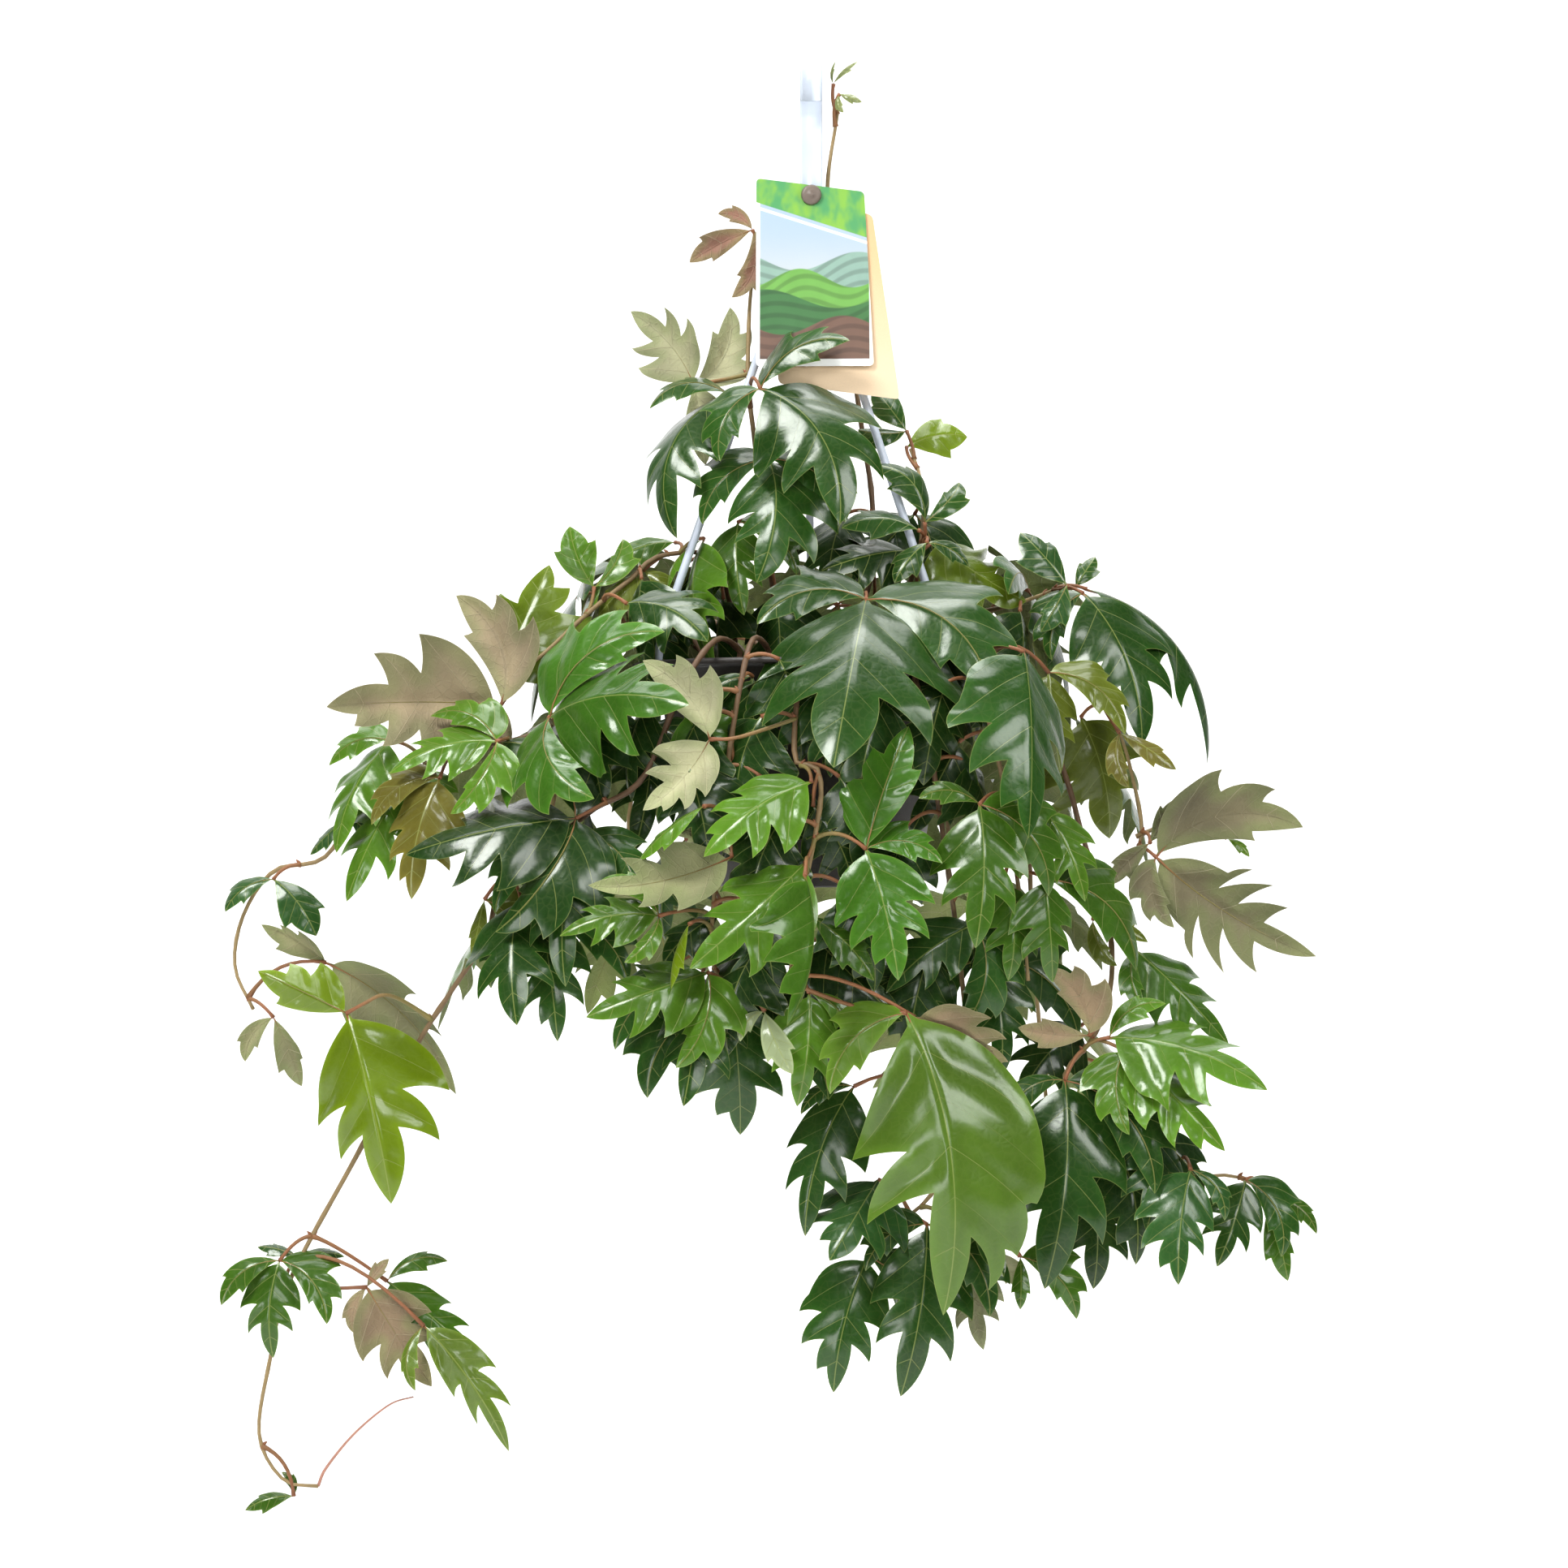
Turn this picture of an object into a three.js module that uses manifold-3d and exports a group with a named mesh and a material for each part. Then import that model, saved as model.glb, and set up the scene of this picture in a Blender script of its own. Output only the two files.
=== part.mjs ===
// A hanging pot of grape ivy: a plastic pot on three rods and a strap hook, two care tags,
// and a dozen and more leafy stems that rise from the soil, spill over the rim and trail.
// Millimetres, +Z up, the front of the plant faces -Y, and the origin is where the hook bears.

import * as THREE from 'three';
import { mergeVertices } from 'three/addons/utils/BufferGeometryUtils.js';
import Module from 'manifold-3d';

const wasm = await Module();
wasm.setup();

// The eye of someone who looks at the plant from in front, level with its middle.
// A leaf is placed by where that eye sees it (x and z on the plane through the pot's axis)
// and by how far in front of that plane it hangs.
const EYE = new THREE.Vector3(-10.4, -1400, -355);

// The hook and strap
const STRAP_WIDTH = 11;
const STRAP_THICKNESS = 1.2;
const STRAP_LEFT = -2.5;
const HOOK_INNER_RADIUS = 5.5;
const HOOK_FLAP_DROP = 20;
const STRAP_FOOT_Z = -84;

// The hub under the strap and the three rods that run from it to the pot's rim
const HUB_RADIUS = 6;
const HUB_TOP_Z = -81;
const HUB_BOTTOM_Z = -87;
const ROD_RADIUS = 2;
const ROD_START_RADIUS = 3.4;
const ROD_TOP_Z = -87.3;
const ROD_ANGLES = { rod_right: 57, rod_left: -63, rod_back: 177 };
const ROD_FOOT_RADIUS = 79;
const ROD_KNOB_RADIUS = 3.4;

// The pot, its rim flange and its soil
const RIM_Z = -296;
const RIM_RADIUS = 85;
const RIM_THICKNESS = 3;
const POT_HEIGHT = 108;
const POT_TOP_RADIUS = 73;
const POT_BOTTOM_RADIUS = 56;
const POT_WALL = 2;
const FOOT_RING_HEIGHT = 3;
const DRAIN_RADIUS = 4;
const DRAIN_COUNT = 4;
const SOIL_TOP_Z = -305;
const SOIL_CROWN = 4;
const CLEARANCE = 0.3;
const SIDES = 18;

// The tags and the button that holds them on the strap
const TAG_THICKNESS = 0.7;
const TAG_GAP = 0.35;
const BUTTON = { x: 3, z: -66, shank: 2, hole: 2.4, head: 5, headThickness: 1.6 };
const FRONT_TAG = [[-24, -57], [29, -64], [33, -153], [-24, -153]];
const BACK_TAG = [[-22, -60], [33, -76], [45.5, -169.5], [-13, -161.5]];
const TAG_TOP_Z = -57;
const TAG_LEAN = 0.25;

// Stems, petioles and blades
const STEM_RADIUS = 1.7;
const STEM_SIDES = 3;
const HUB_REACH = 2.4;
const STEM_STEP = 24;
const STEM_FOOT_Z = -322;
const STEM_TOP_Z = -298;
const TENDRIL_RADIUS = 0.6;
const PETIOLE_RADIUS = 1.15;
const PETIOLE_LEAST = 14;
const PETIOLE_BOW = 0.16;
const SHORT_PETIOLE = 24;
const BLADE_THICKNESS = 1.7;
const SMALL_BLADE_THICKNESS = 1.2;
const SMALL_BLADE = 42;
const LATERAL_ANGLE = 72;
const LATERAL_SHARE = 0.74;
const LATERAL_DROOP = 0.18;
const FOLD = 0.26;
const LEAST_ANGLE = 44;
const ROOMY_ANGLE = THREE.MathUtils.degToRad(54);

// Half outlines of a leaflet from its stalk to its tip: [along the midrib, out from it],
// as shares of the leaflet's length. Lobes point forward, with a deep notch behind each.
const TERMINAL_HALF = [
  [0.07, 0.04], [0.2, 0.25], [0.46, 0.36], [0.47, 0.2], [0.71, 0.28], [0.62, 0.12], [0.85, 0.12],
];
const OUTER_HALF = [[0.18, 0.24], [0.48, 0.37], [0.53, 0.21], [0.76, 0.19]];
const INNER_HALF = [[0.36, 0.15], [0.68, 0.2]];
const TERMINAL_RIB = [0.2, 0.44, 0.78];
const LATERAL_RIB = [0.5];

// Midribs also curve within the blade, by these angles from base to tip: side leaflets away
// from the middle one, as far as their bases have room, and middle ones to either side.
const SIDE_SWAY = 1.3;
const WIDEST_BASE = THREE.MathUtils.degToRad(122);
const SWAYS = [0.35, -0.4, 0.2, -0.25, 0.5];

const LEAF_COLOR = new THREE.Color(0.05, 0.17, 0.05);

// Turns a closed three.js geometry into a solid that can be cut and joined.
function solidOf(geometry) {
  const bare = geometry.clone();
  for (const name of Object.keys(bare.attributes)) {
    if (name !== 'position') {
      bare.deleteAttribute(name);
    }
  }
  const merged = mergeVertices(bare, 1e-4);
  return new wasm.Manifold(new wasm.Mesh({
    numProp: 3,
    vertProperties: new Float32Array(merged.attributes.position.array),
    triVerts: new Uint32Array(merged.index.array),
  }));
}

function geometryOf(solid) {
  const { vertProperties, triVerts, numProp } = solid.getMesh();
  const positions = new Float32Array(vertProperties.length / numProp * 3);
  for (let i = 0; i < positions.length / 3; i++) {
    positions.set(vertProperties.subarray(i * numProp, i * numProp + 3), i * 3);
  }
  const geometry = new THREE.BufferGeometry();
  geometry.setAttribute('position', new THREE.BufferAttribute(positions, 3));
  geometry.setIndex(new THREE.BufferAttribute(new Uint32Array(triVerts), 1));
  return geometry;
}

const unite = (solids) => solids.reduce((whole, piece) => whole.add(piece));

function cylinderBetween(radius, start, end, sides) {
  const axis = end.clone().sub(start);
  const geometry = new THREE.CylinderGeometry(radius, radius, axis.length(), sides);
  const upright = new THREE.Vector3(0, 1, 0);
  const turn = new THREE.Quaternion().setFromUnitVectors(upright, axis.clone().normalize());
  geometry.applyQuaternion(turn);
  geometry.translate(...start.clone().add(end).multiplyScalar(0.5).toArray());
  return geometry;
}

// A point where the eye sees (x, z), brought forward along its line of sight.
function seen(x, z, depth) {
  const share = (-EYE.y - depth) / -EYE.y;
  return new THREE.Vector3(EYE.x + (x - EYE.x) * share, -depth, EYE.z + (z - EYE.z) * share);
}

// A point round the pot: azimuth 0 is the front and 90 the right-hand side.
function around(azimuth, z, radius) {
  const angle = THREE.MathUtils.degToRad(azimuth);
  return new THREE.Vector3(radius * Math.sin(angle), -radius * Math.cos(angle), z);
}

function facing(azimuth, elevation) {
  const rise = THREE.MathUtils.degToRad(elevation);
  return around(azimuth, 0, Math.cos(rise)).setZ(Math.sin(rise));
}

// Pot, soil and hanger

function lathe(profile, sides) {
  const geometry = new THREE.LatheGeometry(profile.map(([r, z]) => new THREE.Vector2(r, z)), sides);
  geometry.rotateX(Math.PI / 2);
  return geometry;
}

function potSolid() {
  const floor = RIM_Z - POT_HEIGHT;
  const profile = [
    [0, floor + FOOT_RING_HEIGHT],
    [POT_BOTTOM_RADIUS - 6, floor + FOOT_RING_HEIGHT],
    [POT_BOTTOM_RADIUS - 6, floor],
    [POT_BOTTOM_RADIUS, floor],
    [POT_TOP_RADIUS, RIM_Z - RIM_THICKNESS],
    [RIM_RADIUS, RIM_Z - RIM_THICKNESS],
    [RIM_RADIUS, RIM_Z],
    [POT_TOP_RADIUS - POT_WALL, RIM_Z],
    [POT_BOTTOM_RADIUS - POT_WALL, floor + FOOT_RING_HEIGHT + POT_WALL],
    [0, floor + FOOT_RING_HEIGHT + POT_WALL],
  ];
  let pot = solidOf(lathe(profile, SIDES));
  for (const angle of Object.values(ROD_ANGLES)) {
    const foot = around(angle, RIM_Z, ROD_FOOT_RADIUS);
    const top = foot.clone().setZ(RIM_Z + 2);
    const bottom = foot.clone().setZ(RIM_Z - RIM_THICKNESS - 2);
    pot = pot.subtract(solidOf(cylinderBetween(ROD_RADIUS + CLEARANCE, bottom, top, 8)));
  }
  for (let i = 0; i < DRAIN_COUNT; i++) {
    const hole = around(i * 360 / DRAIN_COUNT, floor, POT_BOTTOM_RADIUS * 0.62);
    const top = hole.clone().setZ(floor + FOOT_RING_HEIGHT + POT_WALL + 2);
    pot = pot.subtract(solidOf(cylinderBetween(DRAIN_RADIUS, hole, top, 6)));
  }
  return pot;
}

function soilSolid(roots) {
  const floor = RIM_Z - POT_HEIGHT + FOOT_RING_HEIGHT + POT_WALL + CLEARANCE;
  const slope = (POT_TOP_RADIUS - POT_BOTTOM_RADIUS) / (POT_HEIGHT - RIM_THICKNESS);
  const inner = (z) => POT_TOP_RADIUS - POT_WALL - CLEARANCE * 3 - (RIM_Z - z) * slope;
  const profile = [
    [0, floor], [inner(floor), floor], [inner(SOIL_TOP_Z), SOIL_TOP_Z],
    [inner(SOIL_TOP_Z) * 0.55, SOIL_TOP_Z + SOIL_CROWN], [0, SOIL_TOP_Z + SOIL_CROWN * 1.2],
  ];
  let soil = solidOf(lathe(profile, SIDES));
  for (const [x, depth] of roots) {
    const bottom = new THREE.Vector3(x, -depth, STEM_FOOT_Z - CLEARANCE);
    const top = new THREE.Vector3(x, -depth, SOIL_TOP_Z + SOIL_CROWN * 2);
    soil = soil.subtract(solidOf(cylinderBetween(STEM_RADIUS * 1.25 + CLEARANCE, bottom, top, 4)));
  }
  return soil;
}

// The strap is a bent band: its section in the YZ plane is extruded along its width.
function hookSolid() {
  const outer = HOOK_INNER_RADIUS + STRAP_THICKNESS;
  const half = STRAP_THICKNESS / 2;
  const loop = (radius, from, to) => Array.from({ length: 9 }, (_, i) => {
    const angle = from + (to - from) * i / 8;
    return new THREE.Vector2(radius * Math.cos(angle), radius * Math.sin(angle) - HOOK_INNER_RADIUS);
  });
  const section = new THREE.Shape([
    new THREE.Vector2(-half, STRAP_FOOT_Z),
    new THREE.Vector2(half, STRAP_FOOT_Z),
    new THREE.Vector2(half, -56),
    new THREE.Vector2(outer, -34),
    ...loop(outer, 0, Math.PI),
    new THREE.Vector2(-outer, -HOOK_FLAP_DROP),
    new THREE.Vector2(-HOOK_INNER_RADIUS, -HOOK_FLAP_DROP),
    ...loop(HOOK_INNER_RADIUS, Math.PI, 0),
    new THREE.Vector2(HOOK_INNER_RADIUS, -34),
    new THREE.Vector2(-half, -56),
  ]);
  const strap = new THREE.ExtrudeGeometry(section, { depth: STRAP_WIDTH, bevelEnabled: false, steps: 1 });
  // The section's x runs along +Y and its y along +Z, and the extrusion runs along +X.
  strap.applyMatrix4(new THREE.Matrix4().makeBasis(
    new THREE.Vector3(0, 1, 0), new THREE.Vector3(0, 0, 1), new THREE.Vector3(1, 0, 0)));
  strap.translate(STRAP_LEFT, 0, 0);
  const hub = cylinderBetween(
    HUB_RADIUS, new THREE.Vector3(0, 0, HUB_BOTTOM_Z), new THREE.Vector3(0, 0, HUB_TOP_Z), 16);
  const hole = cylinderBetween(
    BUTTON.hole, new THREE.Vector3(BUTTON.x, -4, BUTTON.z), new THREE.Vector3(BUTTON.x, 4, BUTTON.z), 12);
  return solidOf(strap).add(solidOf(hub)).subtract(solidOf(hole));
}

function rodSolid(angle) {
  const start = around(angle, ROD_TOP_Z, ROD_START_RADIUS);
  const bend = around(angle, RIM_Z + 10, ROD_FOOT_RADIUS);
  const foot = around(angle, RIM_Z - RIM_THICKNESS - 8, ROD_FOOT_RADIUS);
  const lean = bend.clone().sub(start).normalize();
  const neck = start.clone().addScaledVector(lean, ROD_RADIUS * 0.5);
  const upright = cylinderBetween(ROD_RADIUS, foot, bend, 6);
  const sloping = cylinderBetween(ROD_RADIUS, neck, bend.clone().addScaledVector(lean, 1.2), 6);
  const knobTop = foot.clone().setZ(RIM_Z - RIM_THICKNESS - CLEARANCE * 2);
  const knob = cylinderBetween(ROD_KNOB_RADIUS, foot.clone().setZ(knobTop.z - 3.5), knobTop, 6);
  return unite([upright, sloping, knob].map(solidOf));
}

// Tags

// A flat card with a hole for the button. It leans forward so that it lies in front of the
// hub and the rods.
function tagSolid(corners, front) {
  const plate = new THREE.ExtrudeGeometry(
    new THREE.Shape(corners.map(([x, z]) => new THREE.Vector2(x, z))),
    { depth: TAG_THICKNESS, bevelEnabled: false });
  plate.rotateX(Math.PI / 2);
  plate.translate(0, TAG_THICKNESS - front, 0);
  const start = new THREE.Vector3(BUTTON.x, -front - 3, BUTTON.z);
  const end = start.clone().setY(-front + 3);
  const card = solidOf(plate).subtract(solidOf(cylinderBetween(BUTTON.hole, start, end, 12)));
  return card.warp((point) => {
    point[1] += TAG_LEAN * (point[2] - TAG_TOP_Z);
  });
}

function buttonSolid(front) {
  const at = (y) => new THREE.Vector3(BUTTON.x, y, BUTTON.z);
  const back = STRAP_THICKNESS / 2 + TAG_GAP;
  const face = -front + TAG_LEAN * (BUTTON.z - BUTTON.head - TAG_TOP_Z);
  const pieces = [
    cylinderBetween(BUTTON.shank, at(face - 1), at(back + 1), 8),
    cylinderBetween(BUTTON.head, at(face - BUTTON.headThickness), at(face), 10),
    cylinderBetween(BUTTON.head * 0.8, at(back), at(back + BUTTON.headThickness), 10),
  ];
  return unite(pieces.map(solidOf));
}

// Blades

// A point beside an arc from (0, 0) to (1, 0) that turns by an angle in all: u runs along
// the arc and v stands out from it.
function arcPoint(turn, u, v) {
  if (Math.abs(turn) < 1e-6) {
    return [u, v];
  }
  const angle = turn * (u - 0.5);
  const half = turn / 2;
  const chord = 2 * Math.sin(half);
  return [
    (Math.sin(angle) + Math.sin(half)) / chord + v * Math.sin(angle),
    (Math.cos(angle) - Math.cos(half)) / chord + v * Math.cos(angle),
  ];
}

// The curved surface of a leaflet: an arc from base to tip that arches towards the normal
// and sways to one side, with both halves sloping down from the midrib.
class Surface {
  constructor(base, tip, normal, arch, sway) {
    const chord = tip.clone().sub(base);
    this.base = base;
    this.length = chord.length();
    this.along = chord.normalize();
    this.up = normal.clone().addScaledVector(this.along, -normal.dot(this.along)).normalize();
    this.side = this.up.clone().cross(this.along);
    this.arch = arch;
    this.sway = sway;
  }

  at(u, v, lift = 0) {
    const [run, out] = arcPoint(this.sway, u, v);
    const angle = this.arch * (run - 0.5);
    const [reach, rise] = arcPoint(this.arch, run, 0);
    const slope = FOLD * Math.abs(v) + 0.35 * v * v;
    const normal = this.up.clone().multiplyScalar(Math.cos(angle));
    normal.addScaledVector(this.along, Math.sin(angle));
    return this.base.clone()
      .addScaledVector(this.along, reach * this.length)
      .addScaledVector(this.up, rise * this.length)
      .addScaledVector(this.side, out * this.length)
      .addScaledVector(normal, lift - slope * this.length);
  }
}

// One leaf is one thin body: its leaflets meet at a hub, and its petiole runs back from
// there. It is thickest along the midribs and thins to its edge. Both faces share the
// outline and are split alike, with each triangle reaching the hub or a point of a midrib.
function leafSolid({ hub, middle, leaflets }, petiole) {
  const points = [];
  const add = (point) => points.push(point) - 1;
  const lift = middle.up.clone().multiplyScalar(BLADE_THICKNESS / 2);
  const hubPair = [add(hub.clone().add(lift)), add(hub.clone().sub(lift))];
  const heel = hub.clone().addScaledVector(middle.along, -HUB_REACH / 2);
  const heels = [-1, 1].map((sign) => add(heel.clone().addScaledVector(middle.side, sign * PETIOLE_RADIUS)));
  const notches = leaflets.slice(1).map(({ surface }, i) => {
    const between = surface.along.clone().add(leaflets[i].surface.along).normalize();
    return add(hub.clone().addScaledVector(between, HUB_REACH));
  });
  const shared = [heels[0], ...notches, heels[1]];
  const triangles = [];
  leaflets.forEach(({ surface, halves, rib }, k) => {
    const thickness = surface.length < SMALL_BLADE ? SMALL_BLADE_THICKNESS : BLADE_THICKNESS;
    const pair = (u) => [1, -1].map((face) => add(surface.at(u, 0, face * thickness / 2)));
    const ribs = [hubPair, ...rib.map(pair)];
    const along = [0, ...rib];
    const tip = add(surface.at(1, 0));
    for (const sign of [-1, 1]) {
      const half = sign < 0 ? halves[0] : halves[1];
      const flat = [[0, sign * 0.03], ...half.map(([u, v]) => [u, v * sign]), [1, 0]];
      const edge = [shared[sign < 0 ? k : k + 1], ...half.map(([u, v]) => add(surface.at(u, v * sign))), tip];
      const face = (a, b, c, layer) => triangles.push((layer === 0) === (sign < 0) ? [a, b, c] : [a, c, b]);
      const turn = (from, i) => {
        const [x, y] = flat[i];
        const [nextX, nextY] = flat[i + 1];
        return sign * ((x - from) * nextY - y * (nextX - from));
      };
      let reach = 0;
      const advance = (i) => {
        [0, 1].forEach((layer) => face(ribs[reach][layer], edge[i], ribs[reach + 1][layer], layer));
        reach += 1;
      };
      for (let i = 0; i + 1 < edge.length; i++) {
        const next = () => along[reach + 1];
        while (reach + 1 < ribs.length && i > 0 && next() <= flat[i][0] + 0.05 && turn(next(), i) < -0.002) {
          advance(i);
        }
        while (i + 2 === edge.length && reach + 1 < ribs.length) {
          advance(i);
        }
        [0, 1].forEach((layer) => face(ribs[reach][layer], edge[i], edge[i + 1], layer));
      }
    }
  });
  let ring = [hubPair[0], heels[1], hubPair[1], heels[0]];
  petiole.forEach((point, k) => {
    const away = point.clone().sub(k ? petiole[k - 1] : hub).normalize();
    const turn = new THREE.Quaternion().setFromUnitVectors(middle.along.clone().negate(), away);
    const [up, side] = [middle.up, middle.side].map((v) => v.clone().applyQuaternion(turn));
    const next = [[up, 1], [side, 1], [up, -1], [side, -1]].map(([way, sign]) => (
      add(point.clone().addScaledVector(way, sign * PETIOLE_RADIUS))));
    for (let i = 0; i < 4; i++) {
      const j = (i + 1) % 4;
      triangles.push([ring[i], ring[j], next[i]], [ring[j], next[j], next[i]]);
    }
    ring = next;
  });
  triangles.push([ring[0], ring[1], ring[2]], [ring[0], ring[2], ring[3]]);
  const geometry = new THREE.BufferGeometry();
  geometry.setAttribute('position', new THREE.Float32BufferAttribute(points.flatMap((p) => p.toArray()), 3));
  geometry.setIndex(triangles.flat());
  return solidOf(geometry);
}

function tubeSolid(curve, radius, sides, steps) {
  const section = new THREE.Shape(Array.from({ length: sides }, (_, i) => {
    const angle = 2 * Math.PI * i / sides;
    return new THREE.Vector2(radius * Math.cos(angle), radius * Math.sin(angle));
  }));
  return solidOf(new THREE.ExtrudeGeometry(section, { steps, bevelEnabled: false, extrudePath: curve }));
}

// Leafy stems. A stem's root is [x, depth] in the soil. Its path, and the places of its
// leaves, are given as [x, z, depth] for the eye in front, or as [azimuth, z, radius] for
// the stems round the back. A leaf is three leaflets from one junction at the end of its
// petiole: tip is the end of the middle one, and left and right are the ends of the side
// ones, worked out where they aren't given, and left out where they are null. faces is where
// its upper side looks, and sway is how far its middle leaflet curves to its right.

const FRONT_STEMS = [
  {
    name: 'stem_crown',
    root: [20, 12],
    path: [[33, -250, 10], [33, -215, 4], [29, -187, -6], [22, -140, -14], [14, -95, -12], [11, -61, -8],
      [15.5, -28, -6], [17, -19, -5]],
    leaves: [
      { at: [30, -264, 62], tip: [14, -347, 108], left: [-24, -276, 66], right: [92, -312, 92],
        faces: [-5, 35],
        wide: 1.3, sway: 0.1 },
      { at: [20, -222, 14], tip: [12, -266, 38], left: null, right: null, faces: [-5, 30] },
      { at: [14, -10, -6], tip: [26, 1, -3], left: [15, 1, -5], right: null, faces: [-60, 20] },
      { at: [17, -15, -4], tip: [28, -19, -1], left: null, right: [19, -24, -2], faces: [-30, 30] },
    ],
  },
  {
    name: 'stem_left_top',
    root: [-14, 22],
    path: [[-16, -258, 18], [-22, -215, 10], [-25, -185, 7], [-28, -160, 2], [-28, -138, -6], [-27, -115, -12],
      [-24, -92, -12]],
    leaves: [
      { at: [-22, -160, 34], tip: [17, -227, 62], left: [-42, -196, 42], right: [22, -136, 42],
        faces: [-5, 38],
        wide: 1.1, sway: 1.1 },
      { at: [-38, -163, 16], tip: [-63, -234, 36], left: [-77, -170, 18], right: null,
        faces: [-40, 35], arch: 1.3,
        wide: 0.85, sway: -1.1 },
      { at: [-18, -195, 36], tip: [-24, -256, 60], left: [-44, -232, 42], right: [20, -226, 46],
        faces: [-4, 32],
        wide: 1.2, sway: 0.8 },
      { at: [-33, -226, 24], tip: [-30, -272, 40], left: null, right: [-6, -254, 30], faces: [-10, 30] },
      { at: [-55, -158, -5], tip: [-86, -122, -10], left: [-49, -198, -12], right: [-37, -120, -14],
        faces: [172, 20] },
      { at: [-26, -82, -12], tip: [-57, -98, -6], left: [-40, -114, -8], right: [-43, -74, -16],
        faces: [176, 10] },
    ],
  },
  {
    name: 'stem_left_woody',
    root: [-34, -6],
    path: [[-38, -262, 0], [-46, -243, 6], [-60, -241, 10], [-75, -244, 14], [-86, -254, 18], [-105, -269, 24],
      [-128, -290, 30], [-148, -306, 34]],
    leaves: [
      { at: [-88, -266, 48], tip: [-48, -285, 74], left: null, right: null, faces: [-12, 38], wide: 1.25,
        sway: 0.7 },
      { at: [-50, -234, 30], tip: [-44, -298, 62], left: [-60, -262, 38], right: null, faces: [-60, 20],
        wide: 0.75 },
      { at: [-150, -316, 38], tip: [-236, -317, 42], left: [-184, -330, 46], right: [-172, -262, 26],
        faces: [176, 0] },
      { at: [-152, -303, 30], tip: [-126, -247, 12], left: null, right: null, faces: [-20, 15], arch: 0.3,
        wide: 1.4 },
      { at: [-104, -258, 18], tip: [-116, -228, 20], left: null, right: [-90, -234, 10],
        faces: [-25, 40], arch: 0.3,
        wide: 1.6 },
      { at: [-80, -250, 18], tip: [-102, -272, 30], left: null, right: [-68, -268, 26],
        faces: [-15, 35], wide: 1.4 },
      { at: [-64, -236, -6], tip: [-94, -246, -4], left: null, right: null, faces: [-10, 35], wide: 1.3 },
      { at: [-56, -250, -8], tip: [-60, -290, 4], left: null, right: null, faces: [-8, 25], wide: 1.2 },
    ],
  },
  {
    name: 'stem_left_low',
    root: [-50, 8],
    path: [[-62, -278, 6], [-84, -280, 18], [-104, -300, 40], [-125, -326, 54], [-160, -338, 50], [-195, -350, 42],
      [-222, -372, 34], [-238, -392, 28], [-262, -398, 22], [-277, -420, 22], [-281, -445, 26], [-272, -466, 32]],
    leaves: [
      { at: [-126, -322, 70], tip: [-57, -316, 118], left: [-66, -287, 84], right: [-104, -362, 108],
        faces: [-12, 28], wide: 1.25 },
      { at: [-152, -334, 58], tip: [-205, -350, 58], left: [-178, -368, 68], right: [-188, -326, 44],
        faces: [-20, 35] },
      { at: [-194, -350, 50], tip: [-226, -413, 62], left: null, right: [-188, -384, 62], faces: [-25, 25] },
      { at: [-204, -334, 44], tip: [-231, -389, 48], left: [-235, -346, 38], right: null, faces: [-35, 25] },
      { at: [-226, -372, 38], tip: [-244, -390, 40], left: null, right: [-214, -389, 46], faces: [-30, 40] },
      { at: [-262, -402, 30], tip: [-241, -430, 38], left: [-286, -418, 34], right: null, faces: [0, 45],
        wide: 1.5 },
      { at: [-236, -443, 26], tip: [-172, -508, 40], left: [-268, -424, 22], right: null, faces: [165, 25],
        wide: 0.65 },
      { at: [-262, -470, 36], tip: [-248, -504, 44], left: null, right: [-276, -492, 40], faces: [170, 20] },
      { at: [-180, -352, 56], tip: [-194, -412, 66], left: [-212, -378, 58], right: null, faces: [-15, 25] },
      { at: [-76, -326, 56], tip: [-84, -388, 74], left: null, right: [-58, -356, 66], faces: [-8, 30] },
    ],
  },
  {
    name: 'stem_left_vine',
    root: [-32, 46],
    path: [[-44, -284, 70], [-60, -306, 92], [-80, -352, 86], [-105, -368, 78], [-130, -388, 70], [-150, -405, 64],
      [-157, -430, 60], [-175, -458, 60], [-191, -483, 60], [-222, -540, 66], [-254, -600, 70], [-264, -640, 70],
      [-269, -676, 68], [-257, -698, 66], [-240, -701, 66]],
    leaves: [
      { at: [-113, -372, 88], tip: [-197, -390, 80], left: [-168, -414, 96], right: [-150, -334, 62],
        faces: [-15, 42], wide: 1.15 },
      { at: [-110, -380, 92], tip: [-118, -455, 112], left: [-148, -424, 98], right: [-84, -412, 106],
        faces: [-4, 32] },
      { at: [-130, -420, 84], tip: [-122, -482, 98], left: [-150, -459, 88], right: [-100, -465, 98],
        faces: [-8, 28] },
      { at: [-140, -412, 76], tip: [-142, -474, 84], left: null, right: null, faces: [-10, 28] },
      { at: [-158, -412, 66], tip: [-164, -441, 70], left: null, right: [-152, -459, 76], faces: [-30, 25] },
      { at: [-226, -468, 72], tip: [-204, -562, 90], left: [-270, -447, 68], right: null, faces: [-10, 18],
        via: [[-198, -462, 66], [-208, -459, 74], [-217, -463, 76]], wide: 0.95 },
      { at: [-259, -590, 74], tip: [-262, -638, 88], left: [-288, -612, 80], right: [-240, -625, 86],
        faces: [-5, 25] },
      { at: [-216, -603, 76], tip: [-184, -652, 90], left: [-222, -626, 82], right: [-205, -589, 70],
        faces: [178, -10], via: [[-240, -603, 74]] },
      { at: [-206, -600, 66], tip: [-159, -641, 74], left: null, right: [-176, -590, 62],
        faces: [10, 45], wide: 0.7 },
      { at: [-188, -622, 76], tip: [-146, -684, 84], left: null, right: [-176, -653, 84],
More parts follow.
